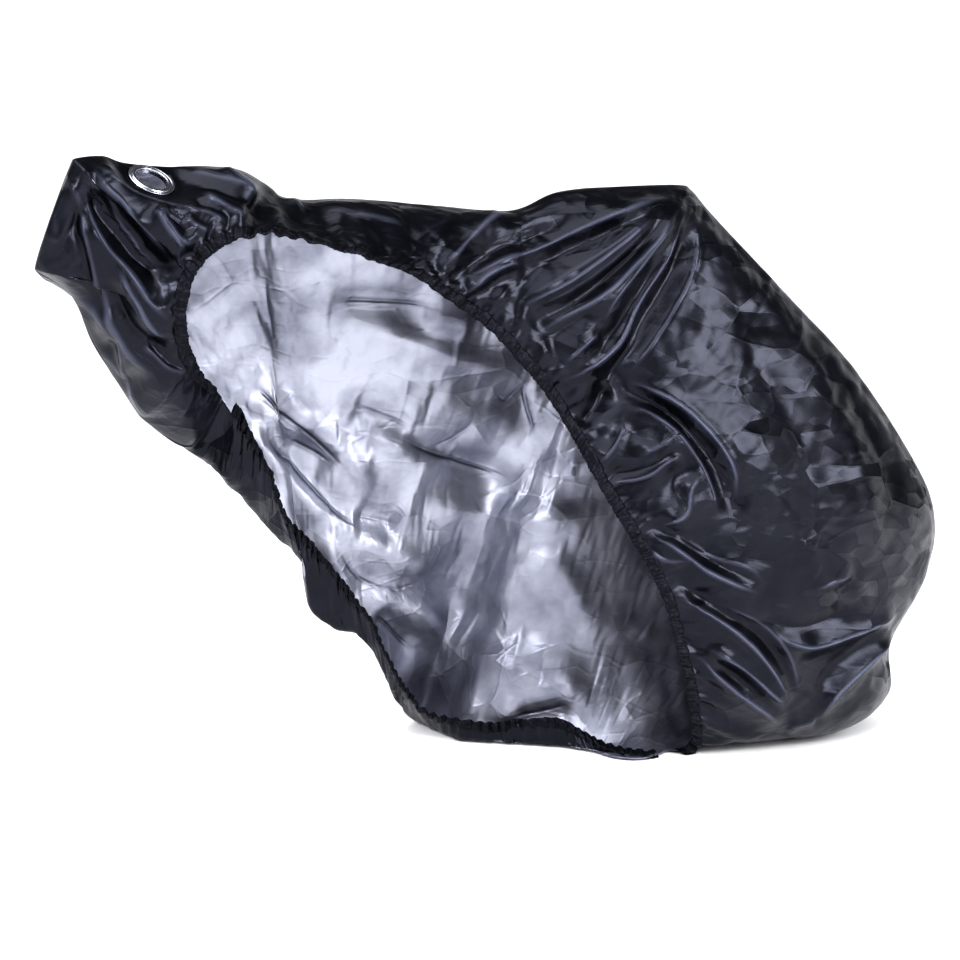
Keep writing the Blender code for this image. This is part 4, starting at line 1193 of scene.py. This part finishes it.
class COVER_OT_hems(bpy.types.Operator):
    """Make the gathered elastic hems round the opening"""

    bl_idname = "cover.hems"
    bl_label = "Elastic hems"
    bl_options = {"REGISTER", "UNDO"}

    def execute(self, context):
        cloth = context.scene.cover_cloth
        grid, _ = shared_grid(cloth)
        normal = outward(grid)
        finish = ribbed_elastic("knitted black elastic", cloth.hem_colour, cloth.hem_speck)
        for name, row, step in (("left_hem", 0, 1), ("right_hem", -1, -1)):
            # the casing reaches a little past the cloth's edge, and stays above the floor
            inward = unit(grid[:, row + 3 * step] - grid[:, row])
            line = grid[:, row] + 0.42 * cloth.hem_width * inward
            line[:, 2] = np.maximum(line[:, 2], 0.6 * cloth.hem_thickness - FLOOR)
            mesh = tube_mesh(name, line, inward, normal[:, row], cloth.hem_width,
                             cloth.hem_thickness, 0.3 * cloth.gather_spacing)
            add_piece(name, mesh, (finish,), "black_cloth")
        return {"FINISHED"}


class COVER_OT_eyelet(bpy.types.Operator):
    """Make the lock eyelet, its washer and the round of cloth that it is set in"""

    bl_idname = "cover.eyelet"
    bl_label = "Lock eyelet"
    bl_options = {"REGISTER", "UNDO"}

    def execute(self, context):
        eyelet, cloth = context.scene.cover_eyelet, context.scene.cover_cloth
        metal = nickel_plate("polished nickel plate", eyelet.plating)
        black = bpy.data.materials["woven black taffeta"]
        # heights are above the cloth, along the eyelet's axis
        hole, rim = eyelet.hole_radius, eyelet.rim_radius
        sleeve = hole + eyelet.wall
        crown, seat, foot = 0.0036, 0.0002, -0.0042
        flange = rounded(((hole, 0.0006), (hole + 0.0010, crown), (hole + 0.0050, crown),
                          (hole + 0.0068, 0.0014), (rim - 0.0042, 0.0016),
                          (rim - 0.0024, 0.0028), (rim, 0.0018), (rim, seat),
                          (sleeve, seat), (sleeve, foot), (hole, foot)), 0.0014)
        washer = rounded(flat_ring(sleeve + FIT_GAP, WASHER_RADIUS, -0.0023, -0.0035), 0.0005)
        patch = flat_ring(sleeve + FIT_GAP, PATCH_RADIUS, -0.0001, -cloth.thickness)
        for name, profile, slot, node, finish in (
                ("lock_eyelet", flange, "plated_metal", "eyelet", metal),
                ("lock_eyelet_washer", washer, "plated_metal", "eyelet_washer", metal),
                ("eyelet_cloth", patch, "black_cloth", "eyelet_patch", black)):
            add_piece(name, ring_mesh(name, profile), (finish,), slot, node)
        return {"FINISHED"}


class COVER_OT_stage(bpy.types.Operator):
    """Make the floor, the soft light and the camera"""

    bl_idname = "cover.stage"
    bl_label = "Stage"
    bl_options = {"REGISTER", "UNDO"}

    def execute(self, context):
        stage, scene = context.scene.cover_stage, context.scene
        add_floor(stage.floor_colour)
        scene.world = studio_world()
        scene.view_settings.view_transform = "Standard"
        scene.view_settings.look = "High Contrast"
        for name, place, size, share in SOFTBOXES:
            lamp = add_lamp(name, "AREA", LIT_PLACE - Vector(place),
                            {"size": size, "energy": share * stage.fill_power})
            lamp.location = place
        add_lamp("ceiling light", "SUN", -CEILING_WAY,
                 {"angle": CEILING_ANGLE, "energy": stage.key_power})
        add_camera(stage.lens)
        return {"FINISHED"}


class COVER_PT_panel(bpy.types.Panel):
    """The cover's settings and steps"""

    bl_idname = "COVER_PT_panel"
    bl_label = "Bicycle cover"
    bl_space_type = "VIEW_3D"
    bl_region_type = "UI"
    bl_category = "Cover"

    def draw(self, context):
        scene = context.scene
        for settings, steps in ((scene.cover_cloth, (COVER_OT_cloth, COVER_OT_hems)),
                                (scene.cover_eyelet, (COVER_OT_eyelet,)),
                                (scene.cover_stage, (COVER_OT_stage,))):
            box = self.layout.box()
            for name in settings.__annotations__:
                box.prop(settings, name)
            for step in steps:
                box.operator(step.bl_idname)


CLASSES = (ClothSettings, EyeletSettings, StageSettings, COVER_OT_cloth, COVER_OT_hems,
           COVER_OT_eyelet, COVER_OT_stage, COVER_PT_panel)


def register():
    for made in CLASSES:
        bpy.utils.register_class(made)
    bpy.types.Scene.cover_cloth = bpy.props.PointerProperty(type=ClothSettings)
    bpy.types.Scene.cover_eyelet = bpy.props.PointerProperty(type=EyeletSettings)
    bpy.types.Scene.cover_stage = bpy.props.PointerProperty(type=StageSettings)


def unregister():
    del bpy.types.Scene.cover_stage
    del bpy.types.Scene.cover_eyelet
    del bpy.types.Scene.cover_cloth
    for made in reversed(CLASSES):
        bpy.utils.unregister_class(made)


def main():
    register()
    bpy.ops.cover.cloth()
    bpy.ops.cover.hems()
    bpy.ops.cover.eyelet()
    bpy.ops.cover.stage()


if __name__ == "__main__":
    main()
